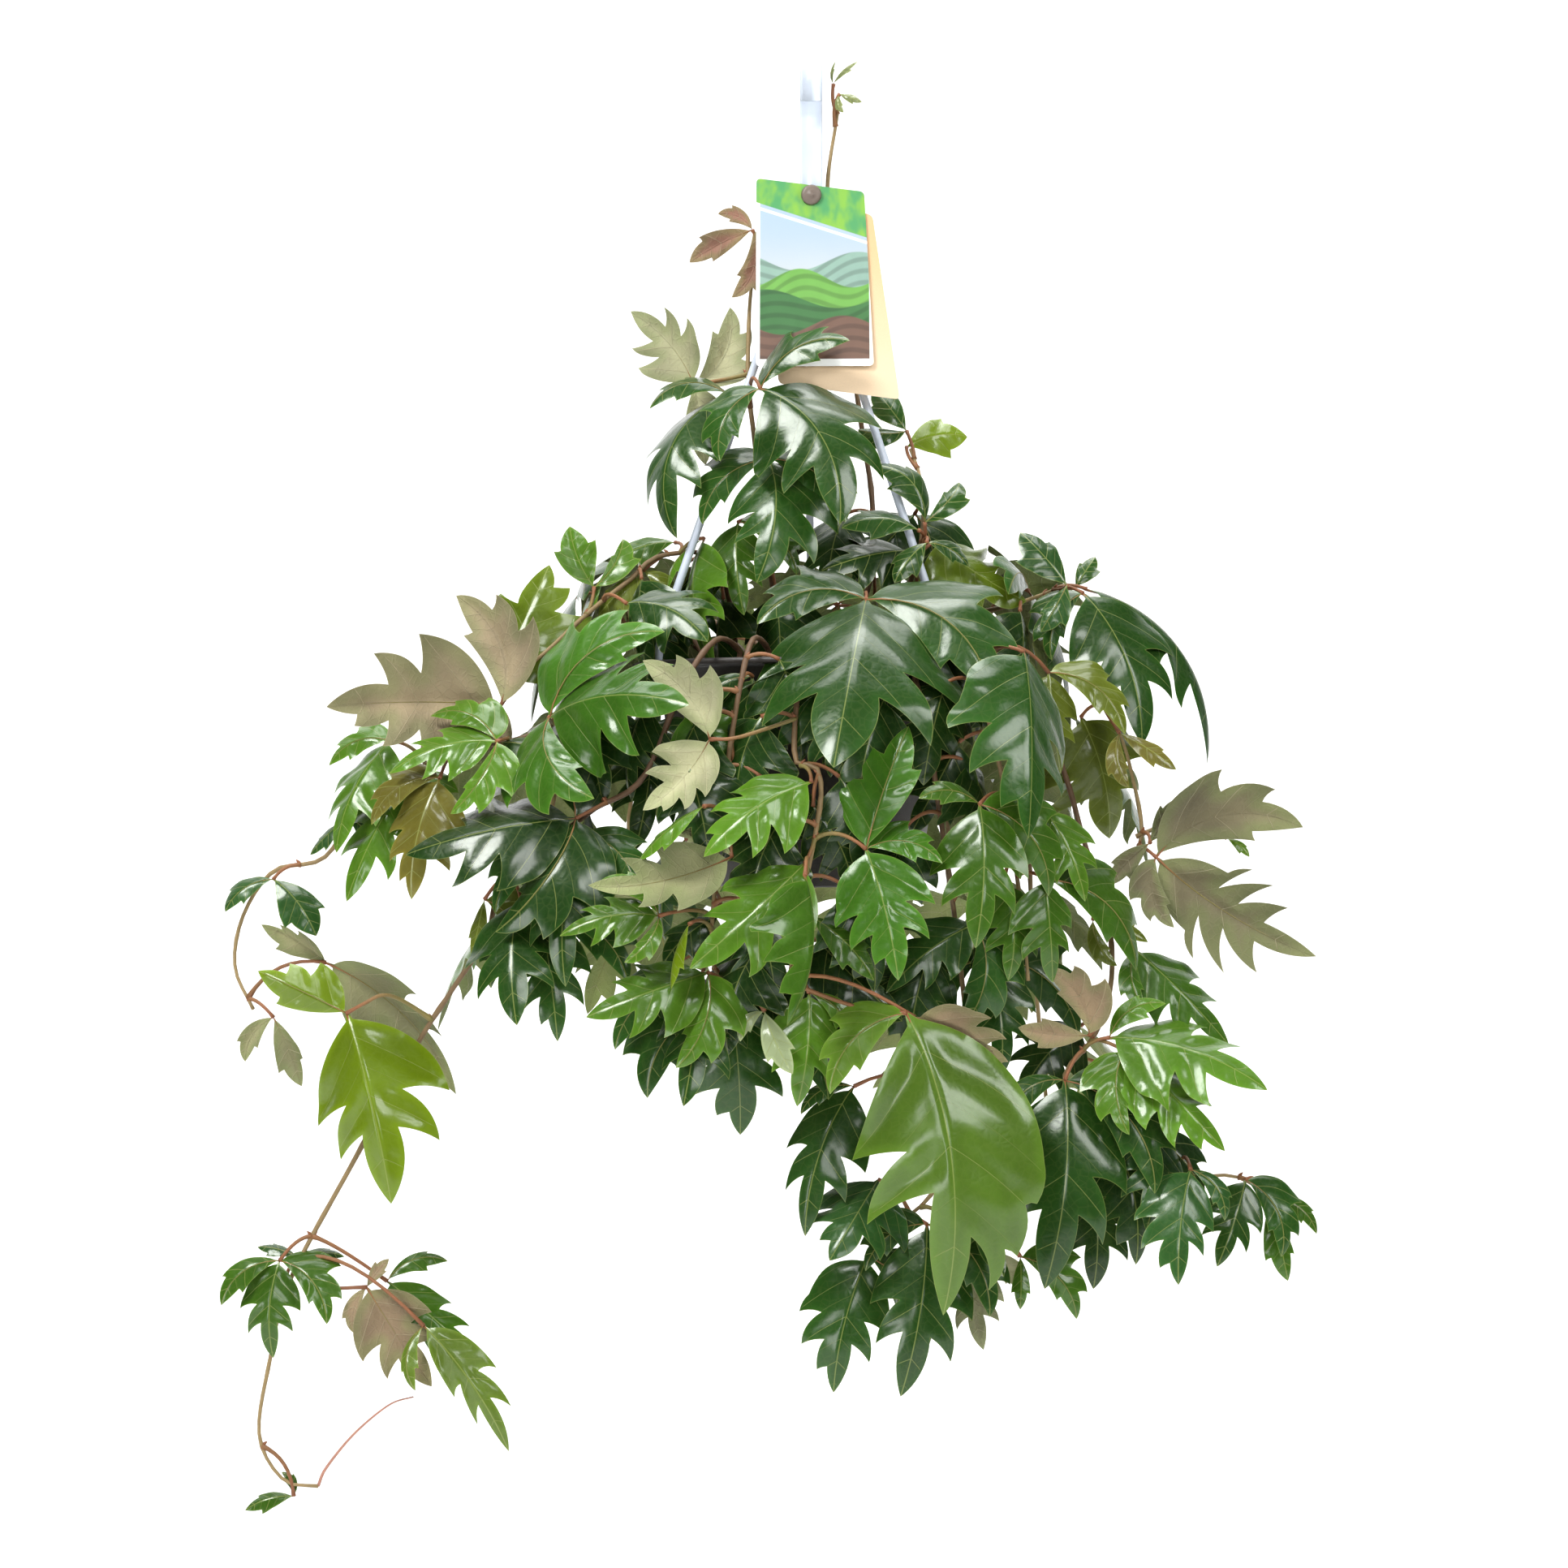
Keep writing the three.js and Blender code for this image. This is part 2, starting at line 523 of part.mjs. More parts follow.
        faces: [-20, 30], wide: 0.5 },
      { at: [-250, -588, 66], tip: [-227, -588, 62], left: [-270, -583, 62], right: null, faces: [0, 55] },
      { at: [-252, -706, 66], tip: [-276, -713, 68], left: null, right: [-258, -694, 62], faces: [0, 40] },
    ],
    tendrils: [[[-240, -701, 66], [-236, -692, 66], [-222, -675, 68], [-205, -661, 70], [-193, -657, 70]]],
  },
  {
    name: 'stem_front',
    root: [0, 50],
    path: [[0, -282, 70], [-3, -302, 96], [-5, -342, 106], [5, -346, 112], [8, -358, 114], [5, -380, 116],
      [1, -400, 116], [-5, -430, 114], [-8, -452, 114]],
    leaves: [
      { at: [50, -468, 132], tip: [68, -617, 148], left: [12, -508, 138], right: null,
        faces: [-4, 22], via: [[8, -459, 118], [30, -466, 124]], wide: 0.9, sway: 0.7 },
      { at: [54, -470, 128], tip: [100, -503, 124], left: null, right: null, faces: [172, 10] },
      { at: [30, -387, 122], tip: [46, -452, 138], left: [51, -326, 114], right: [68, -394, 122],
        faces: [-6, 28] },
      { at: [3, -354, 120], tip: [-50, -391, 132], left: null, right: null, faces: [-10, 35] },
      { at: [0, -394, 124], tip: [-57, -446, 136], left: null, right: null, faces: [-12, 30] },
      { at: [0, -400, 126], tip: [-9, -474, 138], left: null, right: null, faces: [70, 10] },
      { at: [-47, -333, 108], tip: [-80, -368, 116], left: null, right: [-80, -294, 102], faces: [165, -5],
        via: [[-8, -324, 104], [-33, -332, 106]] },
      { at: [2, -458, 116], tip: [-4, -514, 122], left: null, right: [14, -489, 118], faces: [10, 20] },
      { at: [8, -308, 100], tip: [22, -356, 106], left: null, right: [42, -330, 96], faces: [0, 30] },
      { at: [4, -366, 112], tip: [24, -412, 114], left: null, right: null, faces: [5, 25] },
      { at: [2, -420, 118], tip: [34, -452, 124], left: null, right: null, faces: [5, 30] },
      { at: [6, -432, 100], tip: [48, -472, 108], left: null, right: null, faces: [0, 30], wide: 1.2 },
    ],
  },
  {
    name: 'stem_right_top',
    root: [42, 18],
    path: [[50, -262, 20], [58, -232, 24], [57, -206, 12], [52, -190, 4]],
    leaves: [
      { at: [59, -226, 34], tip: [34, -198, 30], left: null, right: [76, -206, 24], faces: [0, 48], arch: 1.2,
        wide: 1.3, sway: -1.2 },
      { at: [56, -230, 38], tip: [18, -229, 46], left: null, right: null, faces: [-8, 40], wide: 1.3,
        sway: -0.8 },
      { at: [50, -240, 30], tip: [8, -250, 36], left: null, right: null, faces: [-5, 35], wide: 1.2 },
      { at: [60, -236, 42], tip: [44, -256, 48], left: null, right: [81, -248, 38], faces: [0, 35],
        wide: 1.4 },
      { at: [50, -189, 0], tip: [80, -184, -6], left: null, right: null, faces: [5, 15], wide: 1.5 },
      { at: [50, -181, -4], tip: [34, -160, -14], left: null, right: [26, -180, -8], faces: [10, 30],
        wide: 1.5 },
      { at: [64, -236, 22], tip: [109, -265, 30], left: null, right: null, faces: [15, 35], wide: 1.6,
        sway: -1.0 },
      { at: [54, -222, 16], tip: [22, -258, 34], left: null, right: [56, -266, 30], faces: [-5, 30],
        wide: 1.2 },
    ],
  },
  {
    name: 'stem_right_arch',
    root: [56, -8],
    path: [[72, -274, 2], [98, -268, 12], [116, -262, 18], [128, -257, 22]],
    leaves: [
      { at: [137, -261, 30], tip: [166, -336, 50], left: [127, -296, 38], right: null, faces: [8, 35],
        sway: 0.5 },
      { at: [139, -259, 22], tip: [198, -346, 30], left: null, right: null, faces: [62, 35], arch: 1.3,
        wide: 0.7,
        sway: 1.05 },
      { at: [129, -257, 24], tip: [106, -231, 16], left: [116, -280, 30], right: null, faces: [0, 38],
        wide: 1.5 },
      { at: [133, -258, 18], tip: [143, -243, 12], left: null, right: null, faces: [0, 38], wide: 1.4 },
    ],
  },
  {
    name: 'stem_right_mid',
    root: [60, 8],
    path: [[86, -282, 12], [112, -310, 28], [128, -350, 40], [138, -385, 46], [146, -408, 50], [151, -434, 58],
      [150, -458, 72], [142, -480, 84], [128, -499, 88], [138, -520, 80], [160, -540, 70], [190, -548, 68],
      [210, -548, 68], [224, -554, 66]],
    branches: [[[143, -410, 49], [158, -394, 54], [166, -380, 52], [161, -350, 48], [155, -330, 46], [147, -316, 44]],
      [[163, -381, 52], [184, -372, 54], [198, -367, 56], [206, -378, 58]]],
    leaves: [
      { at: [128, -501, 96], tip: [118, -604, 116], left: [100, -519, 102], right: [150, -569, 112],
        faces: [0, 25] },
      { at: [158, -487, 90], tip: [207, -536, 104], left: [160, -528, 108], right: null, faces: [15, 38] },
      { at: [150, -480, 86], tip: [228, -506, 92], left: [178, -463, 80], right: null, faces: [10, 45] },
      { at: [140, -479, 90], tip: [105, -475, 98], left: null, right: [118, -446, 94], faces: [175, -5] },
      { at: [173, -391, 58], tip: [252, -440, 62], left: [182, -426, 66], right: [246, -378, 50],
        faces: [178, 8],
        wide: 0.85 },
      { at: [170, -384, 60], tip: [150, -405, 64], left: null, right: [184, -362, 54], faces: [172, 12] },
      { at: [163, -437, 66], tip: [209, -484, 72], left: [178, -466, 76], right: null, faces: [15, 40] },
      { at: [142, -422, 60], tip: [169, -433, 60], left: [157, -443, 66], right: null, faces: [0, 35] },
      { at: [155, -330, 52], tip: [183, -348, 56], left: [160, -357, 60], right: null, faces: [10, 35] },
      { at: [150, -526, 82], tip: [163, -592, 94], left: null, right: [184, -574, 88], faces: [5, 28] },
      { at: [168, -522, 92], tip: [168, -575, 106], left: null, right: null, faces: [20, 25] },
      { at: [190, -545, 88], tip: [184, -602, 100], left: null, right: [206, -571, 92], faces: [5, 30] },
      { at: [217, -550, 80], tip: [203, -593, 94], left: null, right: [230, -590, 90], faces: [0, 32] },
      { at: [229, -560, 72], tip: [238, -600, 80], left: null, right: [250, -580, 74], faces: [10, 30] },
      { at: [208, -382, 58], tip: [219, -391, 60], left: null, right: null, faces: [0, 30] },
      { at: [140, -546, 76], tip: [142, -604, 88], left: null, right: null, faces: [0, 28] },
      { at: [136, -474, 68], tip: [106, -510, 78], left: null, right: null, faces: [-5, 30], wide: 1.2 },
      { at: [136, -322, 44], tip: [150, -382, 48], left: null, right: null, faces: [12, 25], wide: 1.4 },
    ],
  },
  {
    name: 'stem_right_front',
    root: [46, 38],
    path: [[66, -280, 62], [84, -304, 86], [96, -346, 92], [103, -390, 92], [108, -430, 92], [110, -452, 92]],
    leaves: [
      { at: [86, -365, 112], tip: [84, -436, 128], left: [56, -362, 120], right: [104, -420, 116],
        faces: [-4, 30] },
      { at: [108, -290, 86], tip: [110, -382, 108], left: null, right: null, faces: [40, 20] },
      { at: [118, -368, 100], tip: [138, -413, 106], left: [112, -404, 110], right: null, faces: [10, 30] },
      { at: [118, -402, 108], tip: [122, -453, 116], left: null, right: [142, -466, 100], faces: [20, 25] },
      { at: [88, -440, 86], tip: [96, -500, 98], left: [70, -482, 84], right: [113, -497, 94],
        faces: [0, 25] },
      { at: [66, -284, 80], tip: [70, -342, 102], left: null, right: null, faces: [0, 30] },
      { at: [120, -300, 60], tip: [126, -350, 74], left: null, right: [148, -340, 62], faces: [12, 30] },
      { at: [76, -334, 94], tip: [52, -380, 102], left: null, right: null, faces: [0, 30] },
      { at: [84, -424, 98], tip: [40, -458, 108], left: [70, -474, 104], right: null, faces: [0, 32] },
      { at: [98, -404, 98], tip: [100, -452, 104], left: null, right: null, faces: [8, 28] },
    ],
  },
  {
    name: 'stem_left_front',
    root: [-18, 56],
    path: [[-26, -284, 84], [-33, -312, 100], [-40, -360, 98], [-44, -400, 102], [-46, -440, 104], [-39, -456, 102]],
    leaves: [
      { at: [-48, -448, 112], tip: [-108, -470, 122], left: [-64, -495, 124], right: null, faces: [-8, 35] },
      { at: [-72, -420, 118], tip: [-121, -430, 120], left: [-92, -441, 126], right: [-104, -408, 114],
        faces: [-8, 35] },
      { at: [-37, -461, 98], tip: [-32, -528, 112], left: [-78, -510, 104], right: [-3, -523, 108],
        faces: [-2, 25],
        wide: 1.4 },
      { at: [-36, -391, 106], tip: [-107, -405, 114], left: null, right: [-70, -381, 106],
        faces: [176, -20], wide: 0.7 },
      { at: [-50, -366, 114], tip: [-82, -393, 120], left: null, right: null, faces: [-60, 20] },
      { at: [-57, -424, 120], tip: [-66, -456, 126], left: null, right: null, faces: [-75, 10] },
      { at: [-20, -467, 118], tip: [-6, -498, 124], left: [-32, -482, 122], right: null, faces: [0, 25] },
      { at: [-60, -320, 98], tip: [-28, -372, 108], left: null, right: null, faces: [-10, 30] },
      { at: [-26, -302, 94], tip: [-20, -354, 100], left: [-52, -322, 92], right: null, faces: [-5, 30] },
      { at: [-34, -354, 96], tip: [-26, -408, 102], left: null, right: null, faces: [0, 28] },
      { at: [-52, -452, 98], tip: [-60, -514, 108], left: [-94, -486, 104], right: null, faces: [-10, 28] },
      { at: [-42, -420, 94], tip: [-70, -444, 102], left: null, right: null, faces: [-8, 30], wide: 1.4 },
      { at: [-34, -424, 96], tip: [-14, -458, 102], left: null, right: null, faces: [-2, 28], wide: 1.4 },
    ],
  },
  {
    name: 'stem_bottom',
    root: [30, 46],
    path: [[46, -284, 78], [58, -318, 102], [68, -380, 96], [76, -440, 84], [80, -490, 82], [74, -535, 84],
      [60, -560, 86], [42, -574, 84], [34, -584, 82]],
    leaves: [
      { at: [60, -572, 94], tip: [47, -657, 108], left: [32, -598, 98], right: [70, -627, 108],
        faces: [-4, 22] },
      { at: [24, -504, 84], tip: [0, -578, 98], left: [2, -524, 88], right: null, faces: [-12, 28],
        wide: 0.8 },
      { at: [36, -550, 86], tip: [12, -590, 96], left: null, right: null, faces: [-10, 28], wide: 1.4 },
      { at: [31, -588, 84], tip: [14, -655, 94], left: null, right: [27, -645, 96], faces: [-8, 22] },
      { at: [84, -588, 92], tip: [88, -634, 98], left: [74, -625, 98], right: [108, -607, 90],
        faces: [176, -10] },
      { at: [106, -588, 92], tip: [106, -614, 98], left: null, right: [124, -626, 98], faces: [-20, 30] },
      { at: [82, -548, 84], tip: [98, -598, 92], left: null, right: null, faces: [5, 25] },
    ],
  },
];

// The stems round the back, which nobody in front sees, follow one rule with seeded draws:
// each rises near the rim, spills over it and hangs, with a leaf at every node.
const BACK_STEMS = 9;
const BACK_FIRST_AZIMUTH = 100;
const BACK_LAST_AZIMUTH = 262;
const BACK_SEED = 41;
const BACK_LEAF_STEP = 80;
const BACK_LONG = [1, 2];
const SIDEWAYS_LESS = 26;

function seededDraws(seed) {
  let state = seed;
  return (low, high) => {
    state = (state * 16807) % 2147483647;
    return low + (high - low) * state / 2147483647;
  };
}

function backStem(index) {
  const draw = seededDraws(BACK_SEED + index * 977);
  const azimuth = BACK_FIRST_AZIMUTH + (BACK_LAST_AZIMUTH - BACK_FIRST_AZIMUTH) * index / (BACK_STEMS - 1);
  const rootRadius = index % 2 ? 56 : 44;
  const root = around(azimuth, 0, rootRadius);
  const crest = draw(-272, -240);
  const reach = draw(128, 165) - SIDEWAYS_LESS * Math.abs(Math.sin(THREE.MathUtils.degToRad(azimuth)));
  const end = BACK_LONG.includes(index) ? draw(-560, -520) : draw(-430, -385);
  const path = [
    [azimuth, (crest - 296) / 2, rootRadius + 10],
    [azimuth + draw(-3, 3), crest, reach * 0.62],
    [azimuth + draw(-4, 4), crest - 26, reach * 0.88],
    [azimuth + draw(-5, 5), -340, reach],
    [azimuth + draw(-5, 5), (end - 340) / 2, reach + 6],
    [azimuth + draw(-6, 6), end, reach + 2],
  ];
  const leaves = [];
  let side = index % 2 ? 1 : -1;
  for (let z = crest + 12; z > end - 20; z -= BACK_LEAF_STEP) {
    const swing = side * draw(7, 12);
    const size = draw(66, 84);
    const out = (z > -300 ? reach * 0.7 : reach) + draw(16, 26);
    leaves.push({
      at: [azimuth + swing, z, out],
      tip: [azimuth + swing * draw(1.6, 2.2), z - size * 0.86, out + draw(18, 34)],
      faces: [draw(-14, 14), draw(24, 40)],
    });
    side = -side;
  }
  return { name: `stem_back_${index + 1}`, root: [root.x, -root.y], path, leaves, frame: around };
}

// Leaves and stems in space

function leafletEnds(leaf, frame, move) {
  const put = ([a, z, out], tilt = 0) => frame(a, z, out + move.push + tilt);
  const junction = put(leaf.at);
  const tip = put(leaf.tip, move.tilt);
  const turn = frame === around ? leaf.at[0] : 0;
  const normal = facing(leaf.faces[0] + turn, leaf.faces[1]);
  const chord = tip.clone().sub(junction);
  const up = normal.clone().addScaledVector(chord, -normal.dot(chord) / chord.lengthSq()).normalize();
  const sideEnd = (given, sign) => {
    if (given === null) {
      return null;
    }
    if (given) {
      return put(given);
    }
    const angle = THREE.MathUtils.degToRad(LATERAL_ANGLE) * sign;
    const direction = chord.clone().multiplyScalar(LATERAL_SHARE).applyAxisAngle(up, angle);
    return junction.clone().add(direction).addScaledVector(up, -LATERAL_DROOP * direction.length());
  };
  return { junction, tip, normal, left: sideEnd(leaf.left, -1), right: sideEnd(leaf.right, 1) };
}

const narrow = (half, share) => half.map(([u, v]) => [u, v * share]);

// Side leaflets stand at least a set angle away from the middle one.
function spread(middle, end) {
  const way = end.clone().sub(middle.base);
  const short = THREE.MathUtils.degToRad(LEAST_ANGLE) - way.angleTo(middle.along);
  if (short > 0) {
    way.applyAxisAngle(middle.along.clone().cross(way).normalize(), short);
  }
  return middle.base.clone().add(way);
}

// The leaflets of a leaf in the order in which they stand round the hub.
function leafletsOf(leaf, frame, move) {
  const { junction, tip, normal, left, right } = leafletEnds(leaf, frame, move);
  const arch = leaf.arch ?? 0.75;
  const middle = new Surface(junction, tip, normal, arch, leaf.sway);
  const share = leaf.wide ?? 1;
  const small = middle.length < SMALL_BLADE;
  const half = narrow(small ? INNER_HALF : TERMINAL_HALF, share);
  const list = [{ surface: middle, halves: [half, half], rib: small ? LATERAL_RIB : TERMINAL_RIB, angle: 0 }];
  for (const end of [left, right]) {
    if (end) {
      const surface = new Surface(junction, spread(middle, end), normal, arch, 0);
      const angle = Math.atan2(surface.along.dot(middle.side), surface.along.dot(middle.along));
      const room = 2 * (WIDEST_BASE - Math.abs(angle));
      surface.sway = Math.sign(angle) * Math.min(SIDE_SWAY, Math.max(0, room));
      const closeness = Math.min(1, surface.along.angleTo(middle.along) / ROOMY_ANGLE);
      const outer = narrow(surface.length < SMALL_BLADE * 0.8 ? INNER_HALF : OUTER_HALF, share);
      const inner = narrow(INNER_HALF, closeness);
      const halves = angle < 0 ? [outer, inner] : [inner, outer];
      list.push({ surface, halves, rib: LATERAL_RIB, angle });
      list[0].halves[angle < 0 ? 0 : 1] = narrow(half, closeness);
    }
  }
  return { hub: junction, middle, leaflets: list.sort((a, b) => a.angle - b.angle) };
}

const tubeSteps = (curve) => Math.max(3, Math.round(curve.getLength() / STEM_STEP));
const stemCurve = (points) => new THREE.CatmullRomCurve3(points, false, 'catmullrom', 0.5);

function stemPoints(stem) {
  const frame = stem.frame ?? seen;
  const [x, depth] = stem.root;
  return [
    new THREE.Vector3(x, -depth, STEM_FOOT_Z),
    new THREE.Vector3(x, -depth, (STEM_FOOT_Z + STEM_TOP_Z) / 2),
    new THREE.Vector3(x, -depth, STEM_TOP_Z),
    new THREE.Vector3(x, -depth, STEM_TOP_Z + 7),
    ...stem.path.map(([a, z, out]) => frame(a, z, out)),
  ];
}

function stemSolids(stem) {
  const frame = stem.frame ?? seen;
  const tube = (points, radius) => {
    const curve = stemCurve(points);
    return tubeSolid(curve, radius, STEM_SIDES, tubeSteps(curve));
  };
  const place = (route) => route.map(([a, z, out]) => frame(a, z, out));
  return [
    tube(stemPoints(stem), STEM_RADIUS),
    ...(stem.branches ?? []).map((route) => tube(place(route), STEM_RADIUS * 0.75)),
    ...(stem.tendrils ?? []).map((route) => tube(place(route), TENDRIL_RADIUS)),
  ];
}

// Points along the axes of a stem's own tubes, where a petiole can start.
function stemAxis(stem) {
  const frame = stem.frame ?? seen;
  const branches = (stem.branches ?? []).map((route) => route.map(([a, z, out]) => frame(a, z, out)));
  return [stemPoints(stem), ...branches].flatMap((points) => {
    const rings = stemCurve(points).getSpacedPoints(tubeSteps(stemCurve(points)));
    const between = (from, to) => [0.25, 0.5, 0.75].map((share) => from.clone().lerp(to, share));
    return rings.slice(1).flatMap((ring, i) => between(rings[i], ring));
  }).filter((point) => point.z > STEM_TOP_Z + 8 || Math.hypot(point.x, point.y) > RIM_RADIUS);
}

// The petiole leaves the stem at the nearest place behind the leaf that gives it room for
// its own length. Its points run from the leaf's hub to the middle of the stem.
function petioleOf(leaf, stem, { hub, middle }, bow) {
  const frame = stem.frame ?? seen;
  const axis = stemAxis(stem);
  const nearest = (places, goal) => {
    const nearer = (a, b) => (b.distanceTo(goal) < a.distanceTo(goal) ? b : a);
    return places.reduce(nearer);
  };
  if (leaf.via) {
    const route = leaf.via.map((spot) => frame(...spot));
    return [...route.toReversed(), nearest(axis, route[0])];
  }
  const roomy = axis.filter((point) => point.distanceTo(hub) >= PETIOLE_LEAST);
  const behind = roomy.filter((point) => {
    const reach = point.clone().sub(hub);
    return reach.dot(middle.along) < reach.length() * 0.3;
  });
  const foot = nearest(behind.length ? behind : roomy, hub);
  const length = foot.distanceTo(hub);
  if (length < SHORT_PETIOLE) {
    return [foot];
  }
  const bend = foot.clone().add(hub).multiplyScalar(0.5).addScaledVector(middle.along, -0.22 * length);
  bend.z += length * bow;
  return [new THREE.QuadraticBezierCurve3(hub, bend, foot).getPoint(0.5), foot];
}

// The moves that a leaf may make to hang clear of its neighbours: along the line of sight,
// with its tip nodding in or out, and with more or less bow in the petiole.
const PUSHES = [0, 5, -5, 10, -10, 15, -15, 20, -20, 26, -26, 32, -32, 40, -40, 50, -50, 62, 75];
const NODS = [0, 8, -8, 16, -16, 26];
const BOWS = [1, 2.2, 0.2];
const MOVES = PUSHES.flatMap((push, i) => NODS.map((tilt, j) => ({ push, tilt, bow: BOWS[(i + j) % 3] })));

function boxesMeet(a, b) {
  return [0, 1, 2].every((i) => a.min[i] <= b.max[i] && b.min[i] <= a.max[i]);
}

const crosses = (solid, others) => {
  const box = solid.boundingBox();
  return others.some((other) => boxesMeet(box, other.box) && !solid.intersect(other.solid).isEmpty());
};

const boxed = (node) => (solid) => ({ node, solid, box: solid.boundingBox() });

const STEMS = [...FRONT_STEMS, ...Array.from({ length: BACK_STEMS }, (_, i) => backStem(i))];
for (const { leaves } of STEMS) {
  leaves.forEach((leaf, i) => {
    leaf.sway ??= SWAYS[i % SWAYS.length];
  });
}

// Places every leaf in its first clear pose and returns each stem as one body.
function growStems(fixed) {
  const standing = [...fixed];
  for (const stem of STEMS) {
    standing.push(...stemSolids(stem).map(boxed(stem.name)));
  }
  for (const stem of STEMS) {
    for (const leaf of stem.leaves) {
      const others = standing.filter((piece) => piece.node !== stem.name);
      const own = standing.filter((piece) => piece.node === stem.name);
      const grown = clearLeaf(leaf, stem, others, own) ?? clearLeaf(leaf, stem, others, []);
      if (!grown) {
        throw new Error(`No clear place for the leaf of ${stem.name} at ${leaf.at}`);
      }
      standing.push(boxed(stem.name)(grown));
    }
  }
  const solidsOf = (name) => standing.filter((piece) => piece.node === name).map((p) => p.solid);
  return STEMS.map(({ name }) => [name, unite(solidsOf(name))]);
}

function clearLeaf(leaf, stem, others, own) {
  for (const move of MOVES) {
    const shape = leafletsOf(leaf, stem.frame ?? seen, move);
    const petiole = petioleOf(leaf, stem, shape, PETIOLE_BOW * move.bow);
    const solid = leafSolid(shape, petiole);
    const stub = [shape.hub.clone().lerp(petiole[0], 0.4)];
    if (!crosses(solid, others) && !crosses(leafSolid(shape, stub), own)) {
      return solid;
    }
  }
  return null;
}

const backTagFront = STRAP_THICKNESS / 2 + TAG_GAP + TAG_THICKNESS;
const frontTagFront = backTagFront + TAG_GAP + TAG_THICKNESS;

const fixedPieces = [
  ['pot', potSolid(), 0x14110f, 0.55],
  ['soil', soilSolid(STEMS.map((stem) => stem.root)), 0x1f150e, 0.95],
  ['hanger_hook', hookSolid(), 0xe9edf0, 0.35],
  ...Object.entries(ROD_ANGLES).map(([name, angle]) => [name, rodSolid(angle), 0xe3e8ec, 0.4]),
  ['tag_back', tagSolid(BACK_TAG, backTagFront), 0xf0c98e, 0.6],
  ['tag_front', tagSolid(FRONT_TAG, frontTagFront), 0xf2f3f0, 0.45],
  ['tag_button', buttonSolid(frontTagFront + TAG_GAP), 0x6d5d50, 0.5],
];

const plant = new THREE.Group();
plant.name = 'hanging_grape_ivy';

function addMesh(name, solid, color, roughness) {
  const material = new THREE.MeshStandardMaterial({ color, roughness, metalness: 0 });
  const mesh = new THREE.Mesh(geometryOf(solid), material);
  mesh.name = name;
  plant.add(mesh);
}

for (const [name, solid, color, roughness] of fixedPieces) {
  addMesh(name, solid, color, roughness);
}
for (const [name, solid] of growStems(fixedPieces.map(([name, solid]) => boxed(name)(solid)))) {
  addMesh(name, solid, LEAF_COLOR, 0.4);
}

export default plant;
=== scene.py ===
"""A hanging pot of grape ivy, dressed for a studio picture.

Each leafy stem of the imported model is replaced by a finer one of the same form: its leaves
stand where the model's leaves stand, with cut and toothed edges, quilted blades and veins.
The pot, soil, hanger and cards are replaced by smoother ones of the same size.
Places are in millimetres here, as in the construction, and in metres in the meshes.
"""

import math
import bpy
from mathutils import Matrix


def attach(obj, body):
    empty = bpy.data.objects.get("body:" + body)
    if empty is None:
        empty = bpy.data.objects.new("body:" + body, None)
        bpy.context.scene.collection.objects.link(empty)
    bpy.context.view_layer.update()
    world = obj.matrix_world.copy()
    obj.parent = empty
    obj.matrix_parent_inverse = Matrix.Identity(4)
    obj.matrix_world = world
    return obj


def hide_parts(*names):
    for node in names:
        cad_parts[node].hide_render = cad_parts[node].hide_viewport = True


bl_info = {
    "name": "Hanging grape ivy",
    "version": (1, 0, 0),
    "blender": (4, 5, 0),
    "location": "View3D > Sidebar > Ivy",
    "description": "Builds the leaves, stems, pot, hanger and cards of a hanging grape ivy",
    "category": "Object",
}

from dataclasses import dataclass, field
from types import SimpleNamespace

import bpy
import numpy as np
from mathutils import Vector, geometry, kdtree

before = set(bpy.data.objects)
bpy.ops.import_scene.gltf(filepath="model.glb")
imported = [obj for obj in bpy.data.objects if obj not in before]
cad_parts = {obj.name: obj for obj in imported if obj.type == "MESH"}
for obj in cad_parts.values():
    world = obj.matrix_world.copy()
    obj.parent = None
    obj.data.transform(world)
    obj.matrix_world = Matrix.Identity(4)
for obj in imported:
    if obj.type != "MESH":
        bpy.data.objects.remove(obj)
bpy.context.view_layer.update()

MM = 0.001
BODY = "root"

# The eye that looks at the plant from in front. A leaf is placed by where that eye sees it
# on the plane through the pot's axis, and by how far in front of that plane it hangs.
EYE = np.array((-10.4, -1400.0, -355.0))
VIEW_HALF_WIDTH = 386.4
SENSOR = 36.0

# The hook, the hub and the rods, whose feet stand round the pot's rim
STRAP_WIDTH = 11.0
STRAP_THICKNESS = 1.2
STRAP_LEFT = -2.5
HOOK_INNER_RADIUS = 5.5
HOOK_FLAP_DROP = 20.0
STRAP_FOOT_Z = -84.0
HUB_RADIUS = 6.0
HUB_TOP_Z = -81.0
HUB_BOTTOM_Z = -87.0
ROD_RADIUS = 2.0
ROD_START_RADIUS = 3.4
ROD_ANGLES = {"rod_right": 57.0, "rod_left": -63.0, "rod_back": 177.0}
ROD_FOOT_RADIUS = 79.0
ROD_KNOB_RADIUS = 3.4

# The pot and its soil
RIM_Z = -296.0
RIM_RADIUS = 85.0
RIM_THICKNESS = 3.0
POT_HEIGHT = 108.0
POT_TOP_RADIUS = 73.0
POT_BOTTOM_RADIUS = 56.0
POT_WALL = 2.0
FOOT_RING_HEIGHT = 3.0
DRAIN_RADIUS = 4.0
DRAIN_COUNT = 4
DRAIN_SHARE = 0.62
SOIL_TOP_Z = -305.0
SOIL_CROWN = 4.0
SOIL_SEED = 4177
SOIL_RINGS = 26
CRUMBS = 420

